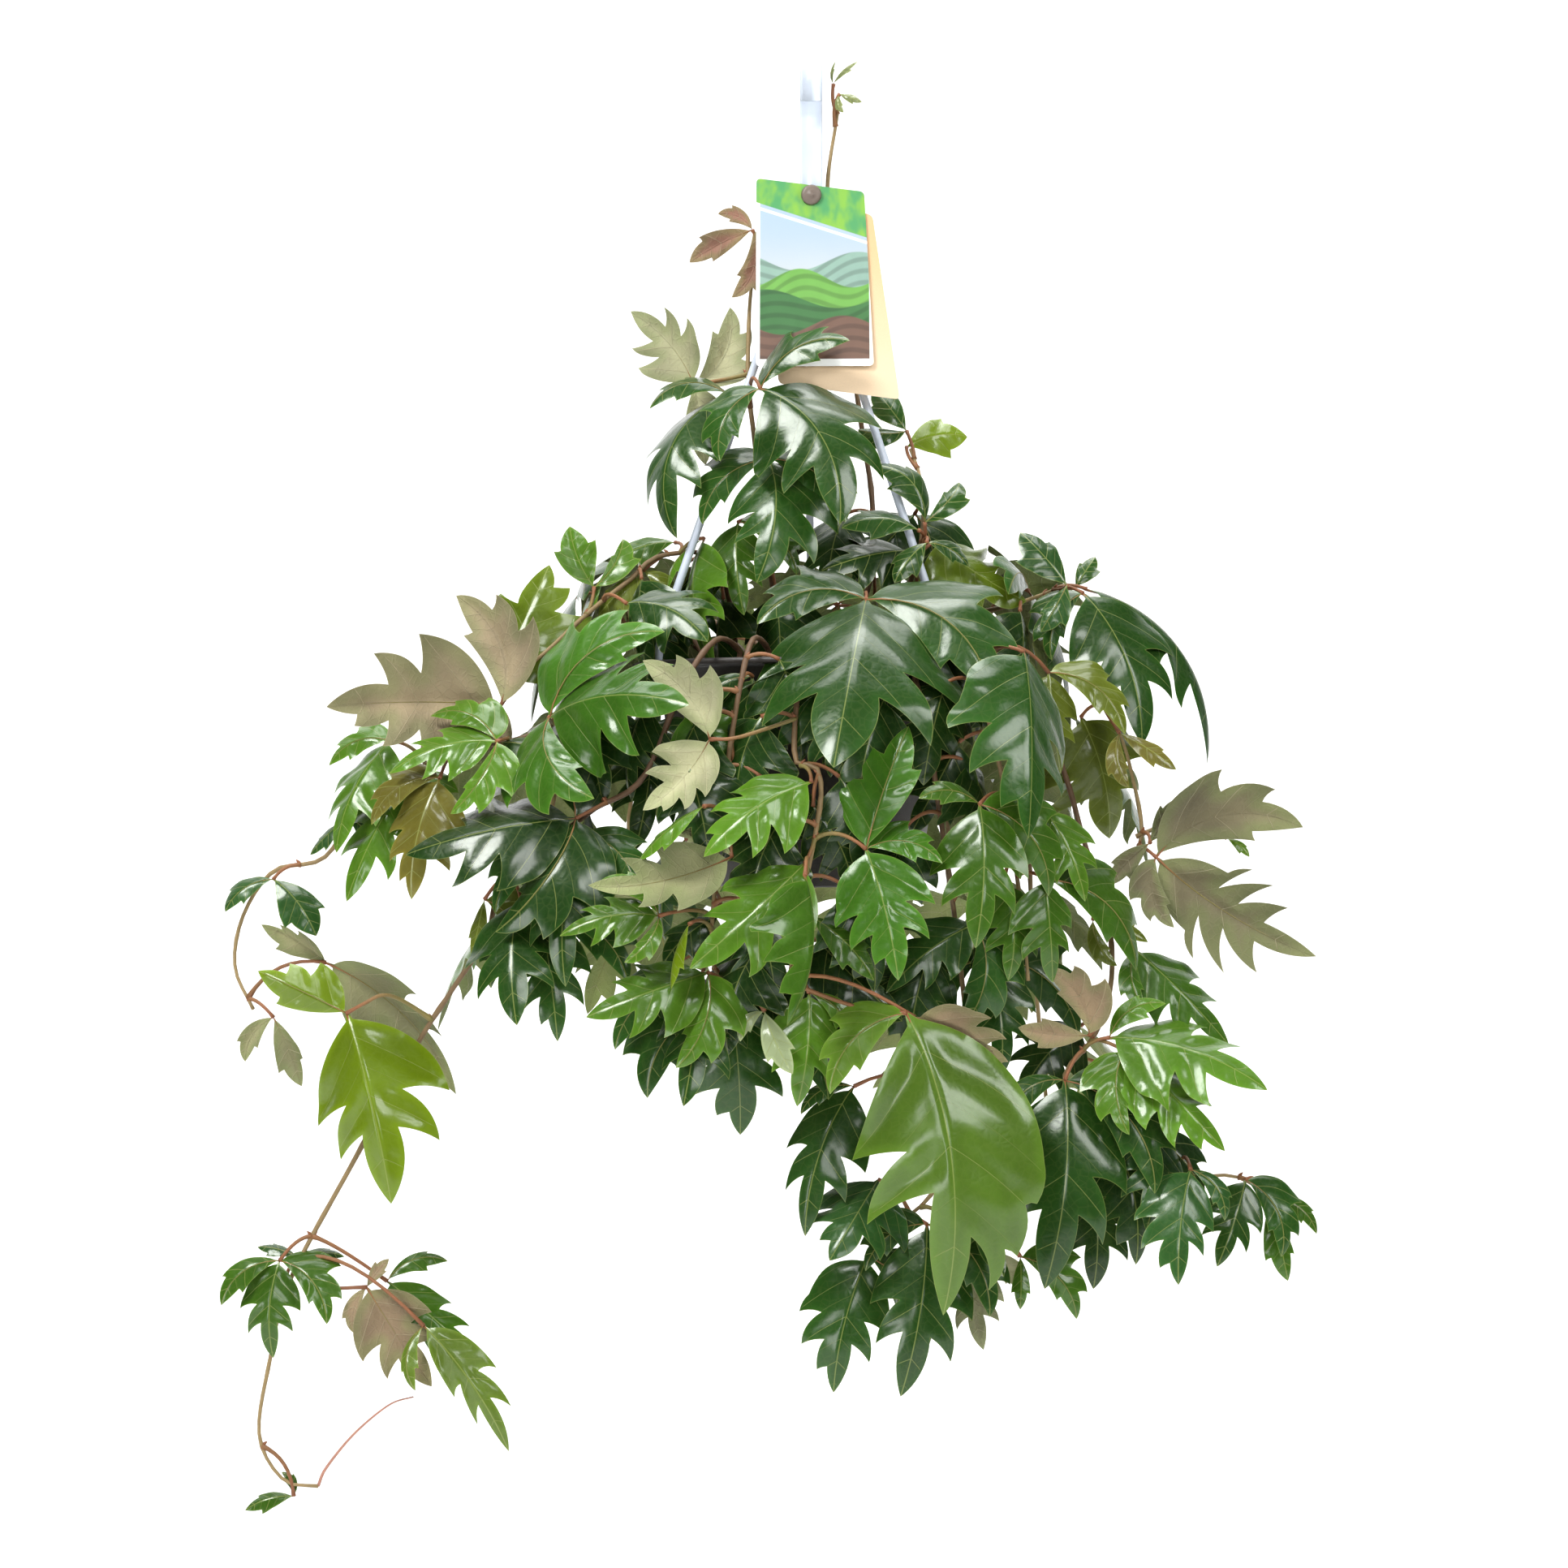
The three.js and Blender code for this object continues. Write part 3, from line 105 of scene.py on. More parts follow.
# The cards and the button that holds them
CARD_THICKNESS = 0.7
CARD_CORNER = 2.6
CARD_CURL = 2.0
CARD_GAP = 0.35
CARD_TOP_Z = -57.0
CARD_LEAN = 0.25
BUTTON_X = 3.0
BUTTON_Z = -66.0
BUTTON_RADIUS = 5.0
FRONT_CARD = [(-24, -57), (29, -64), (33, -153), (-24, -153)]
BACK_CARD = [(-22, -60), (33, -76), (45.5, -169.5), (-13, -161.5)]

# Stems, petioles and blades, as in the construction
STEM_FOOT_Z = -322.0
STEM_TOP_Z = -298.0
STEM_STEP = 24.0
PETIOLE_LEAST = 14.0
PETIOLE_BOW = 0.16
PETIOLE_SINK = 0.22
PETIOLE_AHEAD = 0.3
SHORT_PETIOLE = 24.0
SHORT_BOW = 0.08
BLADE_THICKNESS = 1.7
SMALL_BLADE = 42.0
LATERAL_ANGLE = 72.0
LATERAL_SHARE = 0.74
LATERAL_DROOP = 0.18
FOLD = 0.26
FOLD_ROUNDING = 0.02
EDGE_DROOP = 0.35
LEAST_ANGLE = math.radians(44.0)
ROOMY_ANGLE = math.radians(54.0)
SIDE_SWAY = 1.3
WIDEST_BASE = math.radians(122.0)
SWAYS = (0.35, -0.4, 0.2, -0.25, 0.5)
PUSHES = (0, 5, -5, 10, -10, 15, -15, 20, -20, 26, -26, 32, -32, 40, -40, 50, -50, 62, 75)
NODS = (0, 8, -8, 16, -16, 26)
BOWS = (1.0, 2.2, 0.2)
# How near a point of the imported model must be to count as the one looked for
SAME_POINT = 0.03

# What only the picture needs: the draws that vary the blades of a stem, how deep the blades
# are quilted and waved, where their lobes start to hang, and how stems swell at their nodes
FOLIAGE_SEED = 5003
FOLIAGE_SEED_STEP = 311
QUILT_DEPTH = 0.014
QUILT_SPREAD = 0.008
WAVE_HEIGHT = 0.016
WAVE_WIDTH = 0.3
LOBE_FROM = 0.16
LOBE_HANG = 0.5
NODE_STEP = 6
NODE_SWELL = 0.22
BRANCH_SHARE = 0.75

# Where the picture has more leaves inside the plant than the model
INNER_STEP = 5
INNER_HALF_WIDTH = 112.0
INNER_RADIUS = 128.0
INNER_LOWEST = -452.0
INNER_HIGHEST = -236.0
INNER_SWINGS = (9, 15)
INNER_DROPS = (5, 52)
INNER_OUT = 2

# The edge of half a leaflet, from its stalk to its tip: corners as (along, out, bulge), in
# shares of the leaflet's length. The line to a corner bulges out or in by the third number.
LOBED_HALF = [
    (0.04, 0.02, 0.0), (0.50, 0.37, 0.105), (0.455, 0.16, -0.02), (0.745, 0.275, 0.04),
    (0.635, 0.10, -0.016), (1.0, 0.0, 0.045),
]
BROAD_HALF = [
    (0.04, 0.02, 0.0), (0.36, 0.335, 0.095), (0.50, 0.375, 0.012), (0.47, 0.195, -0.015),
    (0.72, 0.30, 0.034), (0.645, 0.125, -0.014), (0.86, 0.15, 0.02), (0.825, 0.07, -0.004),
    (1.0, 0.0, 0.014),
]
DEEP_HALF = [
    (0.04, 0.02, 0.0), (0.34, 0.27, 0.06), (0.45, 0.40, 0.02), (0.37, 0.13, -0.015), (0.62, 0.38, 0.03),
    (0.51, 0.11, -0.02), (0.76, 0.27, 0.03), (0.68, 0.08, -0.014), (1.0, 0.0, 0.03),
]
GREAT_LEFT = [
    (0.04, 0.02, 0.0), (0.44, 0.385, 0.05), (0.45, 0.17, -0.01), (0.74, 0.34, 0.05), (0.60, 0.08, -0.03),
    (1.0, 0.0, 0.05),
]
GREAT_RIGHT = [
    (0.03, 0.03, 0.0), (0.53, 0.345, 0.10), (0.655, 0.315, 0.012), (0.66, 0.265, -0.006), (0.81, 0.25, 0.02),
    (0.79, 0.195, -0.004), (0.91, 0.16, 0.02), (0.74, 0.06, -0.025), (1.0, 0.0, 0.02),
]
OUTER_HALF = [
    (0.03, 0.02, 0.0), (0.50, 0.376, 0.115), (0.50, 0.195, -0.015), (0.775, 0.222, 0.034),
    (0.73, 0.10, -0.01), (1.0, 0.0, 0.028),
]
INNER_HALF = [
    (0.05, 0.014, 0.0), (0.70, 0.21, 0.045), (0.685, 0.14, -0.006), (1.0, 0.0, 0.03),
]
PATTERN_HALVES = {
    "lobed": (LOBED_HALF, LOBED_HALF),
    "broad": (BROAD_HALF, LOBED_HALF),
    "deep": (DEEP_HALF, DEEP_HALF),
    "great": (GREAT_LEFT, GREAT_RIGHT),
    "plain": (INNER_HALF, INNER_HALF),
    "outer_left": (OUTER_HALF, INNER_HALF),
    "outer_right": (INNER_HALF, OUTER_HALF),
}
STALK_HALF = 0.007
TOOTH = 0.008
SIDE_SUNK = 0.012
# How finely a pattern is split, and the lengths in millimetres from which a finer one serves
MESH_STEPS = {"fine": 0.026, "middle": 0.036, "coarse": 0.06}
FINE_FROM = 78
MIDDLE_FROM = 34
GRID_HALF_WIDTH = 0.45
ROW_GAP = 0.866
EDGE_GAP = 0.42
# How far a place of an outline may turn up from where it was put
STRAY_LIMIT = 1e-4

# Side veins leave the midrib at even steps and bend forward: where across is the distance
# from the midrib, along - VEIN_SLOPE * across - VEIN_BEND * across squared is the same all
# the way out along a vein.
VEINS = 6.33
VEIN_START = -0.02
FAINT_VEIN = 0.4
VEIN_SLOPE = 0.75
VEIN_BEND = 0.5

AUTO = "auto"


@dataclass
class Leaf:
    """Three leaflets from one junction: at is the junction, tip the end of the middle one,
    left and right the ends of the side ones, AUTO for ends that follow from the middle one,
    faces where the upper side looks, and sway how far the middle leaflet curves to its right."""

    at: tuple
    tip: tuple
    faces: tuple
    look: str
    left: object = None
    right: object = None
    arch: float = 0.75
    wide: float = 1.0
    sway: object = None
    via: list = field(default_factory=list)


@dataclass
class Stem:
    """A leafy stem: its root is (x, depth) in the soil, and its path, branches and leaves
    are seen from in front, or lie round the pot where round_pot is true."""

    name: str
    root: tuple
    path: list
    leaves: list
    branches: list = field(default_factory=list)
    tendrils: list = field(default_factory=list)
    round_pot: bool = False


FRONT_STEMS = [
    Stem(
        "stem_crown",
        (20, 12),
        [(33, -250, 10), (33, -215, 4), (29, -187, -6), (22, -140, -14), (14, -95, -12), (11, -61, -8),
         (15.5, -28, -6), (17, -19, -5)],
        [
            Leaf((30, -264, 62), (14, -347, 108), (-5, 35), "dark",
                 left=(-24, -276, 66), right=(92, -312, 92), wide=1.3, sway=0.1),
            Leaf((20, -222, 14), (12, -266, 38), (-5, 30), "black"),
            Leaf((14, -10, -6), (26, 1, -3), (-60, 20), "opening", left=(15, 1, -5)),
            Leaf((17, -15, -4), (28, -19, -1), (-30, 30), "opening", right=(19, -24, -2)),
        ],
    ),
    Stem(
        "stem_left_top",
        (-14, 22),
        [(-16, -258, 18), (-22, -215, 10), (-25, -185, 7), (-28, -160, 2), (-28, -138, -6),
         (-27, -115, -12), (-24, -92, -12)],
        [
            Leaf((-22, -160, 34), (17, -227, 62), (-5, 38), "dark",
                 left=(-42, -196, 42), right=(22, -136, 42), wide=1.1, sway=1.1),
            Leaf((-38, -163, 16), (-63, -234, 36), (-40, 35), "dark",
                 left=(-77, -170, 18), arch=1.3, wide=0.85, sway=-1.1),
            Leaf((-18, -195, 36), (-24, -256, 60), (-4, 32), "dark",
                 left=(-44, -232, 42), right=(20, -226, 46), wide=1.2, sway=0.8),
            Leaf((-33, -226, 24), (-30, -272, 40), (-10, 30), "mid", right=(-6, -254, 30)),
            Leaf((-55, -158, -5), (-86, -122, -10), (172, 20), "pale",
                 left=(-49, -198, -12), right=(-37, -120, -14)),
            Leaf((-26, -82, -12), (-57, -98, -6), (176, 10), "reddish",
                 left=(-40, -114, -8), right=(-43, -74, -16)),
        ],
    ),
    Stem(
        "stem_left_woody",
        (-34, -6),
        [(-38, -262, 0), (-46, -243, 6), (-60, -241, 10), (-75, -244, 14), (-86, -254, 18),
         (-105, -269, 24), (-128, -290, 30), (-148, -306, 34)],
        [
            Leaf((-88, -266, 48), (-48, -285, 74), (-12, 38), "dark", wide=1.25, sway=0.7),
            Leaf((-50, -234, 30), (-44, -298, 62), (-60, 20), "bright",
                 left=(-60, -262, 38), wide=0.75),
            Leaf((-150, -316, 38), (-236, -317, 42), (176, 0), "brown",
                 left=(-184, -330, 46), right=(-172, -262, 26)),
            Leaf((-152, -303, 30), (-126, -247, 12), (-20, 15), "backlit", arch=0.3, wide=1.4),
            Leaf((-104, -258, 18), (-116, -228, 20), (-25, 40), "bright",
                 right=(-90, -234, 10), arch=0.3, wide=1.6),
            Leaf((-80, -250, 18), (-102, -272, 30), (-15, 35), "olive",
                 right=(-68, -268, 26), wide=1.4),
            Leaf((-64, -236, -6), (-94, -246, -4), (-10, 35), "mid", wide=1.3),
            Leaf((-56, -250, -8), (-60, -290, 4), (-8, 25), "black", wide=1.2),
        ],
    ),
    Stem(
        "stem_left_low",
        (-50, 8),
        [(-62, -278, 6), (-84, -280, 18), (-104, -300, 40), (-125, -326, 54), (-160, -338, 50),
         (-195, -350, 42), (-222, -372, 34), (-238, -392, 28), (-262, -398, 22), (-277, -420, 22),
         (-281, -445, 26), (-272, -466, 32)],
        [
            Leaf((-126, -322, 70), (-57, -316, 118), (-12, 28), "glossy",
                 left=(-66, -287, 84), right=(-104, -362, 108), wide=1.25),
            Leaf((-152, -334, 58), (-205, -350, 58), (-20, 35), "bright",
                 left=(-178, -368, 68), right=(-188, -326, 44)),
            Leaf((-194, -350, 50), (-226, -413, 62), (-25, 25), "bright", right=(-188, -384, 62)),
            Leaf((-204, -334, 44), (-231, -389, 48), (-35, 25), "bright", left=(-235, -346, 38)),
            Leaf((-226, -372, 38), (-244, -390, 40), (-30, 40), "bluish", right=(-214, -389, 46)),
            Leaf((-262, -402, 30), (-241, -430, 38), (0, 45), "bluish",
                 left=(-286, -418, 34), wide=1.5),
            Leaf((-236, -443, 26), (-172, -508, 40), (165, 25), "grey",
                 left=(-268, -424, 22), wide=0.65),
            Leaf((-262, -470, 36), (-248, -504, 44), (170, 20), "grey", right=(-276, -492, 40)),
            Leaf((-180, -352, 56), (-194, -412, 66), (-15, 25), "brownish", left=(-212, -378, 58)),
            Leaf((-76, -326, 56), (-84, -388, 74), (-8, 30), "black", right=(-58, -356, 66)),
        ],
    ),
    Stem(
        "stem_left_vine",
        (-32, 46),
        [(-44, -284, 70), (-60, -306, 92), (-80, -352, 86), (-105, -368, 78), (-130, -388, 70),
         (-150, -405, 64), (-157, -430, 60), (-175, -458, 60), (-191, -483, 60), (-222, -540, 66),
         (-254, -600, 70), (-264, -640, 70), (-269, -676, 68), (-257, -698, 66), (-240, -701, 66)],
        [
            Leaf((-113, -372, 88), (-197, -390, 80), (-15, 42), "black",
                 left=(-168, -414, 96), right=(-150, -334, 62), wide=1.15),
            Leaf((-110, -380, 92), (-118, -455, 112), (-4, 32), "dark",
                 left=(-148, -424, 98), right=(-84, -412, 106)),
            Leaf((-130, -420, 84), (-122, -482, 98), (-8, 28), "dark",
                 left=(-150, -459, 88), right=(-100, -465, 98)),
            Leaf((-140, -412, 76), (-142, -474, 84), (-10, 28), "dark"),
            Leaf((-158, -412, 66), (-164, -441, 70), (-30, 25), "olive", right=(-152, -459, 76)),
            Leaf((-226, -468, 72), (-204, -562, 90), (-10, 18), "lime",
                 left=(-270, -447, 68), wide=0.95,
                 via=[(-198, -462, 66), (-208, -459, 74), (-217, -463, 76)]),
            Leaf((-259, -590, 74), (-262, -638, 88), (-5, 25), "mid",
                 left=(-288, -612, 80), right=(-240, -625, 86)),
            Leaf((-216, -603, 76), (-184, -652, 90), (178, -10), "blush",
                 left=(-222, -626, 82), right=(-205, -589, 70), via=[(-240, -603, 74)]),
            Leaf((-206, -600, 66), (-159, -641, 74), (10, 45), "mid", right=(-176, -590, 62), wide=0.7),
            Leaf((-188, -622, 76), (-146, -684, 84), (-20, 30), "tipped",
                 right=(-176, -653, 84), wide=0.5),
            Leaf((-250, -588, 66), (-227, -588, 62), (0, 55), "bluish", left=(-270, -583, 62)),
            Leaf((-252, -706, 66), (-276, -713, 68), (0, 40), "brown", right=(-258, -694, 62)),
        ],
        tendrils=[
            [(-240, -701, 66), (-236, -692, 66), (-222, -675, 68), (-205, -661, 70), (-193, -657, 70)],
        ],
    ),
    Stem(
        "stem_front",
        (0, 50),
        [(0, -282, 70), (-3, -302, 96), (-5, -342, 106), (5, -346, 112), (8, -358, 114), (5, -380, 116),
         (1, -400, 116), (-5, -430, 114), (-8, -452, 114)],
        [
            Leaf((50, -468, 132), (68, -617, 148), (-4, 22), "big",
                 left=(12, -508, 138), wide=0.9, sway=0.7, via=[(8, -459, 118), (30, -466, 124)]),
            Leaf((54, -470, 128), (100, -503, 124), (172, 10), "blush"),
            Leaf((30, -387, 122), (46, -452, 138), (-6, 28), "glossy",
                 left=(51, -326, 114), right=(68, -394, 122)),
            Leaf((3, -354, 120), (-50, -391, 132), (-10, 35), "bright"),
            Leaf((0, -394, 124), (-57, -446, 136), (-12, 30), "bright"),
            Leaf((0, -400, 126), (-9, -474, 138), (70, 10), "beige"),
            Leaf((-47, -333, 108), (-80, -368, 116), (165, -5), "pale",
                 right=(-80, -294, 102), via=[(-8, -324, 104), (-33, -332, 106)]),
            Leaf((2, -458, 116), (-4, -514, 122), (10, 20), "bright", right=(14, -489, 118)),
            Leaf((8, -308, 100), (22, -356, 106), (0, 30), "black", right=(42, -330, 96)),
            Leaf((4, -366, 112), (24, -412, 114), (5, 25), "black"),
            Leaf((2, -420, 118), (34, -452, 124), (5, 30), "mid"),
            Leaf((6, -432, 100), (48, -472, 108), (0, 30), "black", wide=1.2),
        ],
    ),
    Stem(
        "stem_right_top",
        (42, 18),
        [(50, -262, 20), (58, -232, 24), (57, -206, 12), (52, -190, 4)],
        [
            Leaf((59, -226, 34), (34, -198, 30), (0, 48), "dark",
                 right=(76, -206, 24), arch=1.2, wide=1.3, sway=-1.2),
            Leaf((56, -230, 38), (18, -229, 46), (-8, 40), "dark", wide=1.3, sway=-0.8),
            Leaf((50, -240, 30), (8, -250, 36), (-5, 35), "black", wide=1.2),
            Leaf((60, -236, 42), (44, -256, 48), (0, 35), "dark", right=(81, -248, 38), wide=1.4),
            Leaf((50, -189, 0), (80, -184, -6), (5, 15), "fresh", wide=1.5),
            Leaf((50, -181, -4), (34, -160, -14), (10, 30), "dark", right=(26, -180, -8), wide=1.5),
            Leaf((64, -236, 22), (109, -265, 30), (15, 35), "backlit", wide=1.6, sway=-1.0),
            Leaf((54, -222, 16), (22, -258, 34), (-5, 30), "black", right=(56, -266, 30), wide=1.2),
        ],
    ),
    Stem(
        "stem_right_arch",
        (56, -8),
        [(72, -274, 2), (98, -268, 12), (116, -262, 18), (128, -257, 22)],
        [
            Leaf((137, -261, 30), (166, -336, 50), (8, 35), "dark", left=(127, -296, 38), sway=0.5),
            Leaf((139, -259, 22), (198, -346, 30), (62, 35), "dark", arch=1.3, wide=0.7, sway=1.05),
            Leaf((129, -257, 24), (106, -231, 16), (0, 38), "bluish", left=(116, -280, 30), wide=1.5),
            Leaf((133, -258, 18), (143, -243, 12), (0, 38), "dark", wide=1.4),
        ],
    ),
    Stem(
        "stem_right_mid",
        (60, 8),
        [(86, -282, 12), (112, -310, 28), (128, -350, 40), (138, -385, 46), (146, -408, 50),
         (151, -434, 58), (150, -458, 72), (142, -480, 84), (128, -499, 88), (138, -520, 80),
         (160, -540, 70), (190, -548, 68), (210, -548, 68), (224, -554, 66)],
        [
            Leaf((128, -501, 96), (118, -604, 116), (0, 25), "dark",
                 left=(100, -519, 102), right=(150, -569, 112)),
            Leaf((158, -487, 90), (207, -536, 104), (15, 38), "bright", left=(160, -528, 108)),
            Leaf((150, -480, 86), (228, -506, 92), (10, 45), "bright", left=(178, -463, 80)),
            Leaf((140, -479, 90), (105, -475, 98), (175, -5), "blush", right=(118, -446, 94)),
            Leaf((173, -391, 58), (252, -440, 62), (178, 8), "smoky",
                 left=(182, -426, 66), right=(246, -378, 50), wide=0.85),
            Leaf((170, -384, 60), (150, -405, 64), (172, 12), "smoky", right=(184, -362, 54)),
            Leaf((163, -437, 66), (209, -484, 72), (15, 40), "mid", left=(178, -466, 76)),
            Leaf((142, -422, 60), (169, -433, 60), (0, 35), "olive", left=(157, -443, 66)),
            Leaf((155, -330, 52), (183, -348, 56), (10, 35), "brownish", left=(160, -357, 60)),
            Leaf((150, -526, 82), (163, -592, 94), (5, 28), "black", right=(184, -574, 88)),
            Leaf((168, -522, 92), (168, -575, 106), (20, 25), "bluish"),
            Leaf((190, -545, 88), (184, -602, 100), (5, 30), "bluish", right=(206, -571, 92)),
            Leaf((217, -550, 80), (203, -593, 94), (0, 32), "dark", right=(230, -590, 90)),
            Leaf((229, -560, 72), (238, -600, 80), (10, 30), "mid", right=(250, -580, 74)),
            Leaf((208, -382, 58), (219, -391, 60), (0, 30), "young"),
            Leaf((140, -546, 76), (142, -604, 88), (0, 28), "black"),
            Leaf((136, -474, 68), (106, -510, 78), (-5, 30), "black", wide=1.2),
            Leaf((136, -322, 44), (150, -382, 48), (12, 25), "olive", wide=1.4),
        ],
        branches=[
            [(143, -410, 49), (158, -394, 54), (166, -380, 52), (161, -350, 48), (155, -330, 46),
             (147, -316, 44)],
            [(163, -381, 52), (184, -372, 54), (198, -367, 56), (206, -378, 58)],
        ],
    ),
    Stem(
        "stem_right_front",
        (46, 38),
        [(66, -280, 62), (84, -304, 86), (96, -346, 92), (103, -390, 92), (108, -430, 92), (110, -452, 92)],
        [
            Leaf((86, -365, 112), (84, -436, 128), (-4, 30), "mid",
                 left=(56, -362, 120), right=(104, -420, 116)),
            Leaf((108, -290, 86), (110, -382, 108), (40, 20), "dark"),
            Leaf((118, -368, 100), (138, -413, 106), (10, 30), "bright", left=(112, -404, 110)),
            Leaf((118, -402, 108), (122, -453, 116), (20, 25), "mid", right=(142, -466, 100)),
            Leaf((88, -440, 86), (96, -500, 98), (0, 25), "dark",
                 left=(70, -482, 84), right=(113, -497, 94)),
            Leaf((66, -284, 80), (70, -342, 102), (0, 30), "black"),
            Leaf((120, -300, 60), (126, -350, 74), (12, 30), "olive", right=(148, -340, 62)),
            Leaf((76, -334, 94), (52, -380, 102), (0, 30), "black"),
            Leaf((84, -424, 98), (40, -458, 108), (0, 32), "dark", left=(70, -474, 104)),
            Leaf((98, -404, 98), (100, -452, 104), (8, 28), "mid"),
        ],
    ),
    Stem(
        "stem_left_front",
        (-18, 56),
        [(-26, -284, 84), (-33, -312, 100), (-40, -360, 98), (-44, -400, 102), (-46, -440, 104),
         (-39, -456, 102)],
        [
            Leaf((-48, -448, 112), (-108, -470, 122), (-8, 35), "bright", left=(-64, -495, 124)),
            Leaf((-72, -420, 118), (-121, -430, 120), (-8, 35), "bright",
                 left=(-92, -441, 126), right=(-104, -408, 114)),
            Leaf((-37, -461, 98), (-32, -528, 112), (-2, 25), "dark",
                 left=(-78, -510, 104), right=(-3, -523, 108), wide=1.4),
            Leaf((-36, -391, 106), (-107, -405, 114), (176, -20), "beige",
                 right=(-70, -381, 106), wide=0.7),
            Leaf((-50, -366, 114), (-82, -393, 120), (-60, 20), "bright"),
            Leaf((-57, -424, 120), (-66, -456, 126), (-75, 10), "lime"),
            Leaf((-20, -467, 118), (-6, -498, 124), (0, 25), "silvery", left=(-32, -482, 122)),
            Leaf((-60, -320, 98), (-28, -372, 108), (-10, 30), "mid"),
            Leaf((-26, -302, 94), (-20, -354, 100), (-5, 30), "black", left=(-52, -322, 92)),
            Leaf((-34, -354, 96), (-26, -408, 102), (0, 28), "black"),
            Leaf((-52, -452, 98), (-60, -514, 108), (-10, 28), "dark", left=(-94, -486, 104)),
            Leaf((-42, -420, 94), (-70, -444, 102), (-8, 30), "black", wide=1.4),
            Leaf((-34, -424, 96), (-14, -458, 102), (-2, 28), "black", wide=1.4),
        ],
    ),
    Stem(
        "stem_bottom",
        (30, 46),
        [(46, -284, 78), (58, -318, 102), (68, -380, 96), (76, -440, 84), (80, -490, 82), (74, -535, 84),
         (60, -560, 86), (42, -574, 84), (34, -584, 82)],
        [
            Leaf((60, -572, 94), (47, -657, 108), (-4, 22), "dark",
                 left=(32, -598, 98), right=(70, -627, 108)),
            Leaf((24, -504, 84), (0, -578, 98), (-12, 28), "dark", left=(2, -524, 88), wide=0.8),
            Leaf((36, -550, 86), (12, -590, 96), (-10, 28), "bluish", wide=1.4),
            Leaf((31, -588, 84), (14, -655, 94), (-8, 22), "dark", right=(27, -645, 96)),
            Leaf((84, -588, 92), (88, -634, 98), (176, -10), "pale",
                 left=(74, -625, 98), right=(108, -607, 90)),
            Leaf((106, -588, 92), (106, -614, 98), (-20, 30), "mid", right=(124, -626, 98)),
            Leaf((82, -548, 84), (98, -598, 92), (5, 25), "dark"),
        ],
    ),
]

# The stems round the back follow one rule with seeded draws, as in the construction.
BACK_STEMS = 9
BACK_FIRST_AZIMUTH = 100.0
BACK_LAST_AZIMUTH = 262.0
BACK_SEED = 41
BACK_SEED_STEP = 977
BACK_ROOT_RADII = (44, 56)
BACK_LEAF_STEP = 80.0
BACK_LONG = (1, 2)
BACK_BEND_Z = -340
SIDEWAYS_LESS = 26.0
BACK_LOOKS = ("dark", "mid", "bluish", "dark", "bright", "olive")


# Sizes and colours that a user would change


def colour(name, description, default):
    """A colour property with its default, as linear red, green and blue."""
    return bpy.props.FloatVectorProperty(
        name=name, description=description, subtype="COLOR", size=3, min=0.0, max=1.0, default=default)


def size(name, description, default):
    """A length property, in metres."""
    return bpy.props.FloatProperty(
        name=name, description=description, subtype="DISTANCE", unit="LENGTH", min=0.0, default=default)


class IvyLeafColours(bpy.types.PropertyGroup):
    """Colours of the upper sides of leaves, by age and light."""

    dark: colour("Dark", "A mature leaf", (0.015, 0.054, 0.006))
    # Painted shade: black green is the dark tone made darker for leaves deep in the plant, where shade
    # falls.
    black: colour("Black green", "A mature leaf deep in the plant", (0.009, 0.032, 0.004))
    # Painted sheen: the bluish cast stands in for the pale reflection on a leaf turned to the light.
    bluish: colour("Bluish", "A mature leaf that turns its side to the light", (0.018, 0.060, 0.012))
    mid: colour("Mid green", "A leaf of middle age", (0.036, 0.098, 0.006))
    bright: colour("Bright", "A young full-grown leaf", (0.062, 0.150, 0.009))
    glossy: colour("Glossy", "A fresh leaf at the front", (0.036, 0.112, 0.008))
    big: colour("Big leaf", "The large leaf at the front", (0.078, 0.152, 0.014))
    # Painted light: lime is a bright tone that stands in for light shining through the blade.
    lime: colour("Lime", "A leaf with light behind it", (0.130, 0.205, 0.005))
    olive: colour("Olive", "An ageing leaf", (0.085, 0.110, 0.010))
    silvery: colour("Silvery", "A leaf just unfolded", (0.240, 0.290, 0.150))
    opening: colour("Opening", "A leaf that is still unfolding", (0.150, 0.175, 0.070))
    young: colour("Young", "A half-grown leaf", (0.095, 0.195, 0.014))
    brownish: colour("Brownish", "A leaf that is turning brown", (0.100, 0.088, 0.014))
    # Painted light: backlit and fresh are tones that stand in for light shining through the blade.
    backlit: colour("Backlit", "A leaf with the light behind it", (0.075, 0.115, 0.006))
    fresh: colour("Fresh", "A fresh leaf with the light behind it", (0.150, 0.230, 0.010))
    tipped: colour("Tipped", "A leaf whose tip has faded", (0.085, 0.138, 0.014))


class IvyUnderColours(bpy.types.PropertyGroup):
    """Colours of the undersides of leaves."""

    plain: colour("Plain", "Underside of a green leaf", (0.170, 0.195, 0.065))
    brown: colour("Brown", "Greyish brown, downy", (0.270, 0.215, 0.130))
    reddish: colour("Reddish", "Reddish brown", (0.240, 0.125, 0.085))
    pale: colour("Pale", "Pale olive", (0.340, 0.335, 0.195))
    beige: colour("Beige", "Yellowish beige", (0.300, 0.305, 0.150))
    blush: colour("Blush", "Pinkish brown", (0.250, 0.180, 0.105))
    smoky: colour("Smoky", "Dark greyish olive", (0.120, 0.104, 0.056))
    grey: colour("Grey", "Greyish olive", (0.210, 0.205, 0.100))


class IvyStemColours(bpy.types.PropertyGroup):
    """Colours of stems, petioles and veins."""

    woody: colour("Woody", "Old stems", (0.110, 0.058, 0.026))
    young: colour("Young", "Young stems", (0.270, 0.190, 0.080))
    petiole: colour("Petiole", "Downy red-brown petioles", (0.230, 0.085, 0.032))
    vein: colour("Vein", "Pale veins and leaf margins", (0.270, 0.310, 0.085))
    tendril: colour("Tendril", "Thin pink tendrils", (0.420, 0.200, 0.140))


